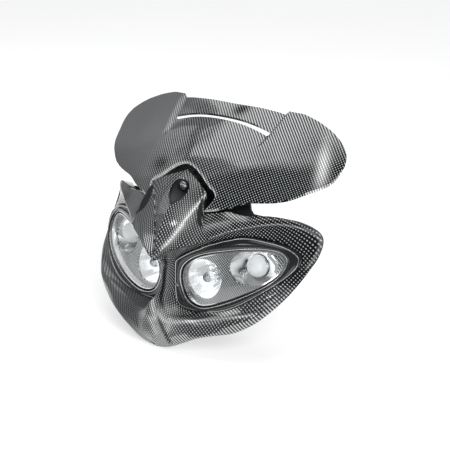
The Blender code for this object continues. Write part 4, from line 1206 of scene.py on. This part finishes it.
def make_plastic(name, colour, rough, grain=0.0001, coat=0.0, scale=1400.0):
    """Moulded plastic: fine spark-eroded grain, slightly uneven shade and gloss."""
    n = Nodes(name)
    where = n.coords()
    fine, broad = n.noise(where, scale, 3.0), n.noise(where, 40.0, 3.0)
    lighter = tuple(min(c * 1.5 + 0.004, 1) for c in colour)
    base = n.mix(n.math("MULTIPLY", fine, broad), (*colour, 1), (*lighter, 1))
    return n.done(n.principled(
        Base_Color=base, Roughness=n.ramp(broad, 0.3, 0.7, rough - 0.06, rough + 0.06), Normal=n.bump(fine, 0.35, grain),
        Coat_Weight=coat, Coat_Roughness=0.08,
    ))


def make_chrome(name="metallised_reflector", painted_radiance=0.0, dimmed=False):
    """Vacuum-metallised surface with a faint ripple of the moulding under it. Its emission is a painted glow, as the
    lamps are not lit; the darkened kind also mixes towards near-black as painted shade where a point attribute asks.
    """
    n = Nodes(name)
    where = n.coords()
    ripple, dust = n.noise(where, 45.0, 2.0), n.noise(where, 600.0, 2.0)
    base = n.mix(dust, (0.80, 0.81, 0.82, 1), (0.92, 0.925, 0.93, 1))
    if dimmed:
        dim = n.add("ShaderNodeAttribute", attribute_name="dim").outputs["Fac"]
        base = n.mix(dim, base, (0.030, 0.032, 0.034, 1))
        painted_radiance = n.math("MULTIPLY", n.math("SUBTRACT", 1.0, dim), painted_radiance)
    return n.done(n.principled(
        Base_Color=base, Metallic=1.0, Roughness=n.ramp(dust, 0.3, 0.7, 0.07, 0.16), Normal=n.bump(ripple, 0.12, 0.0012),
        Emission_Color=n.mix(ripple, (0.55, 0.56, 0.57, 1), (1, 1, 1, 1)), Emission_Strength=painted_radiance,
    ))


def make_zinc(name="zinc_plated_steel"):
    n = Nodes(name)
    where = n.coords()
    patch, scratch = n.noise(where, 700.0, 3.0), n.noise(n.coords((3000.0, 300.0, 3000.0)), 1.0, 2.0)
    base = n.mix(patch, (0.42, 0.43, 0.45, 1), (0.70, 0.71, 0.72, 1))
    return n.done(n.principled(
        Base_Color=base, Metallic=1.0, Roughness=n.ramp(patch, 0.3, 0.7, 0.22, 0.42), Normal=n.bump(scratch, 0.2, 0.00004),
    ))


def make_steel(name="powder_coated_steel"):
    n = Nodes(name)
    where = n.coords()
    peel, broad = n.noise(where, 650.0, 2.0), n.noise(where, 35.0, 3.0)
    base = n.mix(broad, (0.016, 0.017, 0.018, 1), (0.032, 0.033, 0.034, 1))
    return n.done(n.principled(
        Base_Color=base, Metallic=0.15, Roughness=n.ramp(peel, 0.3, 0.7, 0.36, 0.5), Normal=n.bump(peel, 0.4, 0.00012),
        Coat_Weight=0.25, Coat_Roughness=0.3,
    ))


def make_rubber(name="boot_rubber"):
    n = Nodes(name)
    where = n.coords()
    fine, broad = n.noise(where, 1100.0, 3.0), n.noise(where, 60.0, 3.0)
    base = n.mix(broad, (0.010, 0.010, 0.010, 1), (0.026, 0.025, 0.024, 1))
    return n.done(n.principled(Base_Color=base, Roughness=n.ramp(broad, 0.3, 0.7, 0.65, 0.85), Normal=n.bump(fine, 0.4, 0.0001)))


def make_lens(name="clear_polycarbonate"):
    """Clear moulded cover: see-through face on, mirror-like at a slant, faintly wavy."""
    n = Nodes(name)
    where = n.coords()
    wavy, haze = n.noise(where, 14.0, 1.0), n.noise(where, 220.0, 3.0)
    normal = n.bump(wavy, 0.15, 0.002)
    fresnel = n.add("ShaderNodeFresnel", {"IOR": 1.45, "Normal": normal}).outputs[0]
    outside = n.math("SUBTRACT", 1.0, n.add("ShaderNodeNewGeometry").outputs["Backfacing"])
    share = n.math("MULTIPLY", n.math("MINIMUM", fresnel, 0.16), outside)
    tint = n.mix(haze, (0.985, 0.99, 0.99, 1), (0.965, 0.975, 0.975, 1))
    clear = n.add("ShaderNodeBsdfTransparent", {"Color": tint})
    gloss = n.add("ShaderNodeBsdfGlossy", {"Color": (1, 1, 1, 1), "Roughness": n.ramp(haze, 0.3, 0.7, 0.02, 0.05), "Normal": normal})
    both_ways = n.add("ShaderNodeMixShader")
    n.put(both_ways, 0, share)
    n.put(both_ways, 1, clear.outputs[0])
    n.put(both_ways, 2, gloss.outputs[0])
    return n.done(both_ways)


def make_glass(name="lamp_glass", milk=0.0, painted_radiance=0.0):
    # Its emission is a painted glow, as the lamps are not lit
    n = Nodes(name)
    where = n.coords()
    swirl = n.noise(where, 90.0, 2.0)
    base = n.mix(swirl, (0.80, 0.82, 0.84, 1), (0.96, 0.97, 0.98, 1))
    return n.done(n.principled(
        Base_Color=base, Roughness=n.ramp(swirl, 0.3, 0.7, 0.03, 0.08), IOR=1.5, Transmission_Weight=1.0 - milk,
        Normal=n.bump(swirl, 0.1, 0.0004), Coat_Weight=0.6, Coat_Roughness=0.03,
        Emission_Color=(1, 1, 1, 1), Emission_Strength=painted_radiance,
    ))


CARBON = make_carbon()
# A lit copy of the film with brighter strands, for the painted highlight on the nose crease beads
LIT_RIDGE_FILM = make_carbon("film_on_ridge", 1.5)
BLACK = make_plastic("grained_black_plastic", (0.026, 0.029, 0.032), 0.5)
DARK_GREY = make_plastic("dark_grey_carrier", (0.062, 0.066, 0.07), 0.55)
INNER = make_plastic("plain_black_inside", (0.012, 0.012, 0.013), 0.6, 0.00006)
GLOSSY = make_plastic("glossy_black_bezel", (0.012, 0.014, 0.015), 0.22, 0.00002, 0.8, 500.0)
CHROME = make_chrome()
# Bowls and trims with a painted glow; the shaded kinds also take painted shade and painted dark reflection where a
# point attribute marks it
BOWL = make_chrome("bright_bowl", 0.34)
SHADED_BOWL = make_chrome("shaded_bowl", 0.34, True)
SHADED_TRIM = make_chrome("shaded_trim", 0.16, True)
BEAD_PAINTED_EMISSION = make_chrome("satin_trim", 0.16)
ZINC = make_zinc()
STEEL = make_steel()
RUBBER = make_rubber()
LENS_MAT = make_lens()
BULB = make_glass()
# Projector glass with a faint painted glow
MILKY = make_glass("projector_glass", 0.55, 0.11)


# ================================================================ the pieces
def ridge_bead(path, bvh, thin, thick):
    """A raised rounded ridge that follows a line on the skin, a little sunk into it."""
    at = []
    for p in path:
        place, normal, _, _ = bvh.find_nearest(Vector(p))
        if normal.y > 0:
            normal = -normal
        at.append((place, normal))
    skin = Skin()
    loops = []
    for i, (place, normal) in enumerate(at):
        along = at[min(i + 1, len(at) - 1)][0] - at[max(i - 1, 0)][0]
        along.normalize()
        across = along.cross(normal).normalized()
        out = across.cross(along).normalized()
        share = 1 - i / (len(at) - 1)
        r = (thin + (thick - thin) * share) * (0.35 if i in (0, len(at) - 1) else 1.0)
        c = place - out * r * 0.45
        loops.append([tuple(c + (out * math.cos(a) + across * math.sin(a)) * r) for a in (2 * math.pi * k / 10 for k in range(10))])
    skin.fan(loops[0], tuple(sum((Vector(v) for v in loops[0]), Vector()) / 10), flip=True)
    skin.ring(loops)
    skin.fan(loops[-1], tuple(sum((Vector(v) for v in loops[-1]), Vector()) / 10))
    return skin


def vis_mask():
    skin = mask_half(per_station=5, wall_steps=4, lip_steps=3, face_steps=7, return_steps=5).mirrored()
    mask = to_object("vis_front_mask", skin, CARBON, smooth=32)
    film_unwrap(mask, (0.35, 0.94))
    stretch_film(mask, ((150, 50, -18), (-150, 50, -18)), 0.38, 42 / PITCH)
    mask.data.materials.append(INNER)
    solidify(mask, WALL)
    mask.modifiers["wall"].material_offset = 1
    mask.modifiers["wall"].material_offset_rim = 0
    bvh = BVHTree.FromPolygons(skin.verts, [list(f) for f in skin.faces])
    y0 = NOSE_PIVOT[0] - NOSE_FLOOR
    shape(mask, [("DIFFERENCE", tilted(nose_recess(y0, 56), NOSE_TILT, NOSE_PIVOT))])
    finish(mask, ["front_mask"], [CARBON, INNER], smooth=30)
    opening, rim, middle, outer = mask_levels()

    def along(level, first, last):
        return [tuple(level(first + k / 4)) for k in range(4 * (last - first) + 1)]

    # Lines on the skin that carry painted highlights
    crease, lip, low_lip, edge = along(middle, 10, 16), along(rim, 18, 29), along(rim, 33, 38), along(outer, 24, 33)
    crest = along(middle, 18, 27)
    # Lines that carry painted light: dark painted shade along the bar and the chin groove, a painted highlight under
    # the eye
    bar_line = [(9, -44, -35), (6, -40, -45), (2, -38, -55), (1, -38, -64), (1, -40, -74), (1, -43, -82), (4, -48, -88), (11, -51, -93), (17, -50, -100), (28, -39, -103), (39, -27, -100)]
    chin_line = [(4, -53, -95), (12, -58, -108), (16, -58, -116), (20, -56, -124), (24, -55, -130)]
    lit_line = [(5, -54, -98), (9, -56, -101), (15, -56, -106), (20, -54, -108), (33, -48, -106), (48, -40, -103), (61, -30, -100), (77, -23, -95), (92, -19, -88)]
    # Painted shade: dark lines along the bar and the chin groove, and darker zones on the outer right, the bar, the
    # lower left of the chin and the upper left
    paint(mask, "shade", lambda x, y, z: np.maximum(np.maximum(1.9 * near_line(x, y, z, bar_line, 3.6), 1.9 * near_line(x, y, z, chin_line, 2.2)), np.maximum(
        np.maximum(0.08 + (0.9 + 0.36 * soft_step(90, 118, x)) * soft_step(36, 54, x) * soft_step(-66, -50, z), 0.75 * blob(x, y, z, (3, -42, -64), (10, 20, 27))),
        np.maximum(0.95 * blob(x, y, z, (-46, -49, -112), (30, 40, 26)), np.maximum(
            0.8 * blob(x, y, z, (-8, -58, -117), (16, 12, 12)), 0.95 * blob(x, y, z, (-88, -5, 6), (26, 16, 14)))))))
    # Painted plain sheen over the left half
    paint(mask, "calm", lambda x, y, z: 0.72 * soft_step(-14, -34, x))
    # Painted highlights: lines along the nose crease, the eye rims, the outer edge, under the eye, the brow crest and
    # fold, and a few soft spots
    paint(mask, "glow", lambda x, y, z: (
        0.6 * near_line(x, y, z, crease, 2.3) + 0.3 * near_line(x, y, z, lip, 1.2) + 0.4 * near_line(x, y, z, low_lip, 2.2)
        + 0.4 * near_line(x, y, z, edge, 1.2) + 0.45 * near_line(x, y, z, [(-7, -49, -90), (-2, -54, -98), (4, -57, -106)], 2.6)
        + 0.3 * near_line(x, y, z, [(-3, -58, -108), (2, -59, -114), (6, -58, -122)], 3.0) + 0.42 * near_line(x, y, z, lit_line, 2.4)
        + 0.12 * near_line(x, y, z, crest, 1.1) + 0.35 * near_line(x, y, z, [(67, -6, 16), (74, -4, 14), (84, 1, 13)], 4.0)
        + 0.22 * blob(x, y, z, (24, -24, 8), (11, 14, 15)) + 0.25 * blob(x, y, z, (12, -48, -99), (14, 10, 7))
        + 0.2 * near_line(x, y, z, [(14, -35, -98), (46, -30, -94), (84, -23, -85)], 4.0)
        + 0.4 * near_line(x, y, z, [(22, -29, -1), (18, -33, -8), (17, -38, -14), (12, -44, -22)], 3.4)
        + 0.16 * near_line(x, y, z, [(51, -24, 1), (56, -21, 4), (65, -17, 6), (72, -12, 7)], 4.0)
        + 0.12 * blob(x, y, z, (23, -54, -115), (14, 8, 8)) + 0.12 * blob(x, y, z, (16, -1, 44), (16, 10, 12))))
    # A raised bead along each nose crease in the lit copy of the film; the right one also gets painted highlight
    # emission
    for side, turn in sides():
        bead = to_object(f"vis_nose_crease_{side}", turn(ridge_bead(crease[1:-1], bvh, 0.55, 1.35)), LIT_RIDGE_FILM, smooth=60)
        finish(bead, ["front_mask"], [LIT_RIDGE_FILM], smooth=60)
        film_flat(bead)
        if side == "right":
            paint(bead, "glow", lambda x, y, z: 0.95 + 0 * x)
    boss = to_object("vis_nose_boss", nose_plug(bvh), BLACK, smooth=32)
    shape(boss, [("DIFFERENCE", tilted(nose_recess(y0, 56), NOSE_TILT, NOSE_PIVOT))])
    finish(boss, ["front_mask"], [BLACK], smooth=30)


def mark_rim(obj, where):
    """Marks the points of an open skin's free edge that lie where asked, for a painted highlight line along that edge.
    """
    bm = bmesh.new()
    bm.from_mesh(obj.data)
    free = np.zeros(len(bm.verts))
    for e in bm.edges:
        if len(e.link_faces) == 1:
            for v in e.verts:
                free[v.index] = 1.0
    bm.free()
    co = np.empty(len(obj.data.vertices) * 3)
    obj.data.vertices.foreach_get("co", co)
    co = co.reshape(-1, 3) * 1000 + np.array(ORIGIN)
    layer = obj.data.attributes.new(name="rim", type="FLOAT", domain="POINT")
    layer.data.foreach_set("value", (free * where(co[:, 0], co[:, 1], co[:, 2])).astype(np.float32))


def vis_screen():
    sheet = screen_half(columns=8, steps=4).mirrored()
    screen = to_object("vis_flyscreen", sheet, CARBON, smooth=32)
    film_unwrap(screen, (0.68, 0.73))
    screen.data.materials.append(INNER)
    mark_rim(screen, lambda x, y, z: ((abs(x) < 57) & (y < 9)) | ((x > 141) & (y < 70)))
    solidify(screen, SCREEN_T)
    screen.modifiers["wall"].material_offset = 1
    screen.modifiers["wall"].material_offset_rim = 0
    x, y = SCREEN_SCREW
    top = screen_height(x, y) - 7
    tools = []
    for side in (1, -1):
        tools.append(("UNION", screen_boss(side * x, y, 5, SCREEN_TAB[1] + 0.4, 1.8, 32)))
    for side in (1, -1):
        tools.append(("DIFFERENCE", post(side * x, y, 1.8, SCREEN_TAB[1] - 1, top, 24)))
    shape(screen, tools)
    finish(screen, ["flyscreen"], [CARBON, INNER], smooth=30)
    # Lines for painted light: a diagonal band of painted shade on the centre panel, and the step wall on the left
    band = [(2, 66, 99), (4, 50, 93), (4, 34, 87), (-6, 19, 76), (-20, 13, 68)]
    wall = [(-78, 92, 112), (-77, 80, 104), (-74, 64, 91), (-68, 46, 79)]
    rim = np.empty(len(screen.data.vertices))
    screen.data.attributes["rim"].data.foreach_get("value", rim)
    # Painted shade: the lower front and the right wing darkened below a slanting line, the lower left wing, a dark
    # band on the centre panel, the diagonal band and a few soft patches
    paint(screen, "shade", lambda x, y, z: np.maximum(np.maximum(
        soft_step(0, 1, (4 + 13 * soft_step(60, 110, x) - (y - 12 - (x - 44) * 0.56)) / (9 + 13 * soft_step(60, 110, x))) * soft_step(8, 26, x),
        0.5 * soft_step(-60, -100, x) * soft_step(70, 30, y)), np.maximum(0,
        np.maximum(1.25 * blob(x, y, z, (14, 84, 108), (10, 11, 99)), np.maximum(0.62 * near_line(x, y, z, band, 9.0), np.maximum(np.maximum(
            1.2 * blob(x, y, z, (-44, 8, 52), (17, 10, 12)), 0.3 * blob(x, y, z, (80, 43, 72), (13, 11, 12))),
            0.35 * blob(x, y, z, (112, 62, 74), (16, 13, 14))))))))
    # Painted plain sheen on the left wing, less on its step wall
    paint(screen, "calm", lambda x, y, z: 0.8 * soft_step(-30, -80, x) * (1 - 0.6 * near_line(x, y, z, wall, 4.0)))
    # Painted highlights: a gleam on the right wing, a line on the left step wall, and lines along the marked free
    # edges
    paint(screen, "glow", lambda x, y, z: (
        0.78 * blob((x - 142) * 0.45 - (y - 64) * 0.9, (x - 142) * 0.9 + (y - 64) * 0.45, z, (0, 0, 68), (21, 7, 60))
        + 0.16 * near_line(x, y, z, wall, 3.5) + 0.5 * rim))


def hexagon(r):
    return [(r * math.cos(math.pi * k / 3), r * math.sin(math.pi * k / 3)) for k in range(6)]


def socket_screw(at, y_head, length, head_r, head_h, shank_r, hex_r, depth):
    """Button-head screw along Y with a hexagon socket; returns the body and the socket's tool."""
    y0 = y_head
    body = lathe([
        (0, y0), (head_r * 0.62, y0), (head_r * 0.88, y0 + head_h * 0.28), (head_r, y0 + head_h * 0.75), (head_r, y0 + head_h),
        (shank_r, y0 + head_h), (shank_r, y0 + head_h + length), (0, y0 + head_h + length),
    ], at, 48, 0.45)
    tool = prism([(at[0] + a, at[1] + b) for a, b in hexagon(hex_r)], y0 - 1, y0 + depth)
    return body, tool


def vis_screws():
    y0 = NOSE_PIVOT[0] - NOSE_FLOOR
    head = y0 - 0.35
    body, tool = socket_screw((0, NOSE_Z), head - 3.6, 26.4, 5.8, 3.6, 2.9, 2.6, 2.4)
    screw = to_object("vis_nose_screw", tilted(body, NOSE_TILT, NOSE_PIVOT), ZINC)
    shape(screw, [("DIFFERENCE", tilted(tool, NOSE_TILT, NOSE_PIVOT))])
    finish(screw, ["nose_screw"], [ZINC], 35)

    tx, tz = TAB_SCREW
    face = seat(tx, tz)
    body, tool = socket_screw((tx, tz), face - 1.55 - 1.7, 4, 2.6, 1.7, 1.1, 1.25, 0.9)
    both("lens_screw", body, ["lens_screw"], [ZINC], [("DIFFERENCE", tool)])

    x, y = SCREEN_SCREW
    top = screen_height(x, y) - 7
    z = SCREEN_TAB[0] - 0.35
    skin = upright_lathe([(0, z - 2.6), (3.8, z - 2.6), (4.2, z - 2), (4.2, z), (1.5, z), (1.5, top - 2), (0, top - 2)], x, y)
    tool = Skin()
    flat = plate_z([(x + a, y + b) for a, b in hexagon(1.6)], z - 3.6, z - 1.2)
    both("screen_screw", skin, ["screen_screw"], [ZINC], [("DIFFERENCE", flat)])

    fx, fy = FLANGE_SCREW
    shelf_top = SHELF[0] - 0.35
    head = SHELF[1] + 0.35
    skin = upright_lathe([(0, shelf_top - 13), (2.3, shelf_top - 13), (2.3, head), (4.6, head), (4.6, head + 2.6), (3.6, head + 3.4), (0, head + 3.4)], fx, fy)
    both("carrier_screw", skin, ["carrier_screw"], [ZINC], [("DIFFERENCE", plate_z([(fx + a, fy + b) for a, b in hexagon(2.0)], head + 1.6, head + 5))])
    low = shelf_top - 3 - 0.35
    nut = upright([(4.8, low - 4), (4.8, low), (2.7, low), (2.7, low - 4)], fx, fy, 6)
    both("carrier_nut", nut, ["carrier_nut"], [ZINC], smooth=25, bevel=0.25)
    for place, x, z in FRAME_SCREWS:
        y = PLATE_Y + PLATE_T + 0.35
        washer = lathe([(0, y - 12), (2.2, y - 12), (2.2, y), (4.3, y), (4.3, y + 0.7), (3.75, y + 0.8), (0, y + 0.8)], (x, z), 36, 0.15)
        head_tool = prism([(x + a, z + b) for a, b in hexagon(4.05)], y + 0.4, y + 3)
        both(f"housing_screw_{place}", washer, [f"housing_screw_{place}"], [ZINC], [("UNION", head_tool)], smooth=25)


def vis_carrier():
    outline = mirrored_outline(CARRIER_OUTLINE)
    carrier = to_object("vis_screen_carrier", prism(outline, *CARRIER_WALL), BLACK)
    x, y = SCREEN_SCREW
    fx, fy = FLANGE_SCREW
    tools = [("UNION", plate_z([(-70, CARRIER_WALL[0] + 1), (70, CARRIER_WALL[0] + 1), (70, 42), (54, 68), (-54, 68), (-70, 42)], *SHELF))]
    for side in (1, -1):
        tools.append(("UNION", box(side * x - 6.5, side * x + 6.5, CARRIER_WALL[0] + 1, y + 7, *SCREEN_TAB)))
        tools.append(("UNION", prism_x([(31, -9), (60, -9), (31, 30)], side * 52 - 1.5, side * 52 + 1.5)))
    tools.append(("UNION", tilted(rod(0, NOSE_Z, 5.8, 5.6, 31.2, 40), NOSE_TILT, NOSE_PIVOT)))
    tools.append(("DIFFERENCE", tilted(rod(0, NOSE_Z, 3.3, 4.0, 28.0, 32), NOSE_TILT, NOSE_PIVOT)))
    for side in (1, -1):
        tools.append(("DIFFERENCE", post(side * x, y, 2.3, SCREEN_TAB[0] - 1, SCREEN_TAB[1] + 1, 28)))
        tools.append(("DIFFERENCE", post(side * fx, fy, 2.8, SHELF[0] - 1, SHELF[1] + 1, 28)))
    shape(carrier, tools)
    finish(carrier, ["screen_carrier"], [DARK_GREY], 30, bevel=0.5)


def vis_frame():
    plate = to_object("vis_rear_frame", prism(mirrored_outline(FRAME_OUTLINE), PLATE_Y, PLATE_Y + PLATE_T), STEEL)
    fx, fy = FLANGE_SCREW
    top = SHELF[0] - 0.35
    tools = [("UNION", box(-54, 54, PLATE_Y + 0.5, 66, top - 3, top))]
    for side in (1, -1):
        for centre in (MAIN, AUX):
            tools.append(("DIFFERENCE", rod(side * centre[0], centre[1], 17, PLATE_Y - 2, PLATE_Y + PLATE_T + 2, 64)))
        for _, x, z in FRAME_SCREWS:
            tools.append(("DIFFERENCE", rod(side * x, z, 2.8, PLATE_Y - 2, PLATE_Y + PLATE_T + 2, 28)))
        for x, z in FIXING_HOLES:
            tools.append(("DIFFERENCE", rod(side * x, z, 3.3, PLATE_Y - 2, PLATE_Y + PLATE_T + 2, 32)))
        tools.append(("DIFFERENCE", post(side * fx, fy, 2.8, top - 5, top + 1, 28)))
    shape(plate, tools)
    finish(plate, ["rear_frame"], [STEEL], 30, bevel=0.4)


def vis_bezel_skin(count=180):
    outer, inner = bezel_outline(count), inset(lens_outline(count), -0.5)
    skin = Skin()

    def loop(share, off):
        return on_seat(inner + (outer - inner) * share, off)

    profile = [
        (0, -BEZEL_LIP + 0.5), (0.02, -BEZEL_LIP + 0.05), (0.08, -BEZEL_LIP - 0.25), (0.2, -BEZEL_LIP - 0.5), (0.38, -BEZEL_LIP - 0.55),
        (0.55, -BEZEL_LIP - 0.1), (0.7, -2.2), (0.8, -1.5), (0.86, -1.25), (0.9, -1.5), (0.93, -1.9), (0.96, -1.9), (0.99, -1.5), (1, -0.9),
        (1, 7), (0, 7),
    ]
    skin.ring([loop(s, o) for s, o in profile], close=True)
    return skin


def bead_skin(flat, inwards, off, radius, count=10):
    """A thin round bead that runs along a flat outline, laid on the seat."""
    skin = Skin()
    loops = []
    for k in range(count):
        a = 2 * math.pi * k / count
        loops.append(on_seat(inset(flat, inwards + radius * math.cos(a)), off + radius * math.sin(a)))
    skin.ring(loops, close=True)
    return skin


def trim_skin(count):
    """Satin strip that lines the wall between the lens and the lamp panel."""
    edge = lens_outline(count)
    skin = Skin()
    skin.ring([
        on_seat(inset(edge, 3.2), -0.6), on_seat(inset(edge, 3.4), 6.5),
        on_seat(inset(edge, 4.2), 6.5), on_seat(inset(edge, 4.0), -0.6),
    ], close=True)
    return skin


def vis_lamps():
    tx, tz = TAB_SCREW
    face = seat(tx, tz)
    both("bezel", vis_bezel_skin(), ["bezel"], [GLOSSY], [
        ("DIFFERENCE", rod(tx, tz, 3.0, face - 12, face - 1.2, 32)),
        ("DIFFERENCE", rod(tx, tz, 1.5, face - 3, face + 4, 24)),
    ], smooth=40)
    edge = lens_outline(180)
    # Thin beads along the lens edge and inside the bezel, in a trim with painted emission: painted highlight lines
    both("lens_bead", bead_skin(edge, 0.35, -1.7, 0.42), ["bezel"], [BEAD_PAINTED_EMISSION], smooth=40)
    both("bezel_bead", bead_skin(bezel_outline(180), 1.2, -2.2, 0.3), ["bezel"], [BEAD_PAINTED_EMISSION], smooth=40)
    # Lining strip with a painted glow, its inner end darkened as painted shade
    both("trim", trim_skin(120), ["lamp_panel"], [SHADED_TRIM], smooth=40)
    both("lens", lens_skin(180, 16), ["lens"], [LENS_MAT], smooth=40)
    both("lens_seal", seal_skin(120), ["lens_seal"], [RUBBER])
    hole = turned([(0, -60), (MAIN_R, -60), (MAIN_R, 60), (0, 60)], MAIN, 72)
    oval = prism(circle(AUX, AUX_RX, 72, AUX_RZ), -60, 60)
    for side, turn in sides():
        obj = to_object(f"vis_lamp_panel_{side}", turn(panel_skin(120)), CARBON, smooth=30)
        shape(obj, [("DIFFERENCE", turn(hole)), ("DIFFERENCE", turn(oval))])
        evaluated(obj)
        film_flat(obj, pitch=2.1)
        finish(obj, [f"lamp_panel_{side}"], [CARBON], 30)
        # Painted plain sheen and a painted brightening, both stronger towards the bottom of each lamp panel
        paint(obj, "calm", lambda x, y, z: 0.55 * soft_step(-58, -74, z))
        paint(obj, "glow", lambda x, y, z: 0.10 + 0.16 * soft_step(-58, -76, z))
    # Bowls with a painted glow
    both("main_reflector", reflector_skin(MAIN, MAIN_R, MAIN_R, 14.0, 7.6, 96, 14), ["main_reflector"], [BOWL], smooth=40)
    both("aux_reflector", reflector_skin(AUX, AUX_RX, AUX_RZ, 17.0, 13.4, 96, 14), ["aux_reflector"], [SHADED_BOWL], smooth=40)
    for side, turn in sides():
        # Painted dark reflection of the panel on each auxiliary bowl, a wedge and the lower part; painted shade on the
        # inner end of each trim
        wedge = [(78, 14, -42), (77, 11, -47)]
        paint(bpy.data.objects[f"vis_aux_reflector_{side}"], "dim", lambda x, y, z: np.maximum(0.6 * soft_step(-52, -56, z), 0.97 * np.minimum(1, 1.5 * np.maximum(
            near_line(abs(x), y, z, wedge, 3.0), blob(abs(x), y, z, (78, 8, -51), (6, 9, 4.5))))))
        paint(bpy.data.objects[f"vis_trim_{side}"], "dim", lambda x, y, z: 0.85 * soft_step(36, 24, abs(x)))
    tools = []
    for _, x, z in FRAME_SCREWS:
        tools.append(("UNION", rod(x, z, 5, 35, REAR_Y - 1, 32)))
    for _, x, z in FRAME_SCREWS:
        tools.append(("DIFFERENCE", rod(x, z, 2.6, 38, REAR_Y + 2, 28)))
    for centre in (MAIN, AUX):
        tools.append(("DIFFERENCE", rod(*centre, 11, REAR_Y - 8, REAR_Y + 2, 48)))
    both("lamp_housing", housing_skin(120), ["lamp_housing"], [BLACK], tools, smooth=35)

    # capsule bulb: glass, metal cap, collar and base
    both("main_bulb", lathe([(0, -14), (3.4, -13.2), (5.5, -10.5), (6, -7), (6, 8.5), (0, 8.5)], MAIN, 48, 1.2, 4), ["main_bulb"], [BULB])
    both("main_bulb_cap", lathe([(0, 8.7), (6.9, 8.9), (6.9, 17), (10.2, 17), (10.2, 19.5), (7, 19.5), (7, 56), (0, 56)], MAIN, 48, 0.4), [], [ZINC])
    both("aux_barrel", lathe([(0, 14.4), (12.2, 14.4), (12.6, 14.9), (12.6, 24), (9.5, 30), (7, 34), (7, 56), (0, 56)], AUX, 56, 0.5), ["aux_barrel"], [CHROME])
    # Projector glass in front of the barrel, with a faint painted glow
    both("aux_lens", turned([(0, 1.0), (2.5, 1.2), (5, 1.9), (7.2, 3.05), (9, 4.6), (10.5, 6.6), (11.6, 8.6), (12.2, 10.6), (12.4, 12), (12.4, 13.8), (12.2, 14), (0, 14)], AUX, 64), ["aux_lens"], [MILKY])
    boot = [
        (0, 66), (8.6, 66), (9.4, 65), (10, 58), (13.6, 56.5), (15, 54.5), (15, 48.9),
        (12.4, 48.9), (12.4, 53), (8.6, 56), (7.9, 63), (0, 63),
    ]
    both("main_boot", lathe(boot, MAIN, 56, 0.7), ["main_boot"], [RUBBER])
    both("aux_boot", lathe(boot, AUX, 56, 0.7), ["aux_boot"], [RUBBER])


vis_mask()
vis_screen()
vis_screws()
vis_carrier()
vis_frame()
vis_lamps()


# ================================================================ floor, light and camera
FLOOR_Z = (-143.6 - ORIGIN[2]) / 1000


def make_floor():
    n = Nodes("pale_floor")
    where = n.coords()
    soft = n.noise(where, 3.0, 2.0)
    base = n.mix(soft, (0.62, 0.62, 0.62, 1), (0.66, 0.66, 0.66, 1))
    return n.done(n.principled(Base_Color=base, Roughness=0.9, Specular_IOR_Level=0.1, Emission_Color=(1, 1, 1, 1), Emission_Strength=0.62))


mesh = bpy.data.meshes.new("floor")
mesh.from_pydata([(-40, -40, FLOOR_Z), (40, -40, FLOOR_Z), (40, 40, FLOOR_Z), (-40, 40, FLOOR_Z)], [], [(0, 1, 2, 3)])
floor = bpy.data.objects.new("floor", mesh)
mesh.materials.append(make_floor())
bpy.context.scene.collection.objects.link(floor)

MIDDLE = Vector((0.0, -0.06, 0.02))


def aim(azimuth, elevation, distance):
    """A point seen from the object's middle; azimuth 0 is the front, positive to the viewer's right."""
    a, e = math.radians(azimuth), math.radians(elevation)
    return MIDDLE + distance * Vector((math.sin(a) * math.cos(e), -math.cos(a) * math.cos(e), math.sin(e)))


def area_light(name, place, size, radiance, target=None, glossy=True, size_y=None):
    data = bpy.data.lights.new(name, "AREA")
    data.shape = "RECTANGLE"
    data.size = size
    data.size_y = size_y or size
    data.energy = radiance * math.pi * data.size * data.size_y
    obj = bpy.data.objects.new(name, data)
    bpy.context.scene.collection.objects.link(obj)
    obj.location = place
    direction = (target or MIDDLE) - Vector(place)
    obj.rotation_euler = direction.to_track_quat("-Z", "Y").to_euler()
    obj.visible_glossy = glossy
    obj.visible_camera = False
    return obj


area_light("overhead", Vector((-0.25, 0.15, 1.35)), 1.75, 1.15, Vector((-0.25, 0.149, 0.0)))
area_light("left_wall", Vector((-1.7, 0.1, 0.75)), 1.4, 0.42, size_y=1.0)
area_light("front_gleam", aim(18, 27, 1.6), 0.24, 5.0)
area_light("lamp_fill", aim(62, 6, 1.7), 0.7, 1.3)
sun = bpy.data.lights.new("key", "SUN")
sun.energy = 1.9
sun.angle = math.radians(28)
key = bpy.data.objects.new("key", sun)
bpy.context.scene.collection.objects.link(key)
key.rotation_euler = (-(aim(58, 34, 1.0) - MIDDLE)).to_track_quat("-Z", "Y").to_euler()
key.visible_glossy = False

world = bpy.data.worlds.new("studio")
bpy.context.scene.world = world
world.use_nodes = True
tree = world.node_tree
tree.nodes.clear()
out = tree.nodes.new("ShaderNodeOutputWorld")
shade = tree.nodes.new("ShaderNodeBackground")
shade.inputs["Color"].default_value = (0.93, 0.96, 1.0, 1)
shade.inputs["Strength"].default_value = 0.10
tree.links.new(shade.outputs[0], out.inputs[0])

scene = bpy.context.scene
scene.view_settings.view_transform = "Standard"
scene.view_settings.look = "None"

camera_data = bpy.data.cameras.new("camera")
camera_data.lens = 101.84
camera_data.sensor_width = 36.0
camera_data.sensor_fit = "HORIZONTAL"
camera_data.clip_start = 0.05
camera_data.clip_end = 60.0
camera = bpy.data.objects.new("camera", camera_data)
scene.collection.objects.link(camera)
back = Vector((0.59852, -0.73911, 0.30902)).normalized()
target = Vector(((58.08 - ORIGIN[0]) / 1000, -ORIGIN[1] / 1000, -ORIGIN[2] / 1000))
camera.location = target + back * 1.4003
camera.rotation_euler = (-back).to_track_quat("-Z", "Y").to_euler()
scene.camera = camera
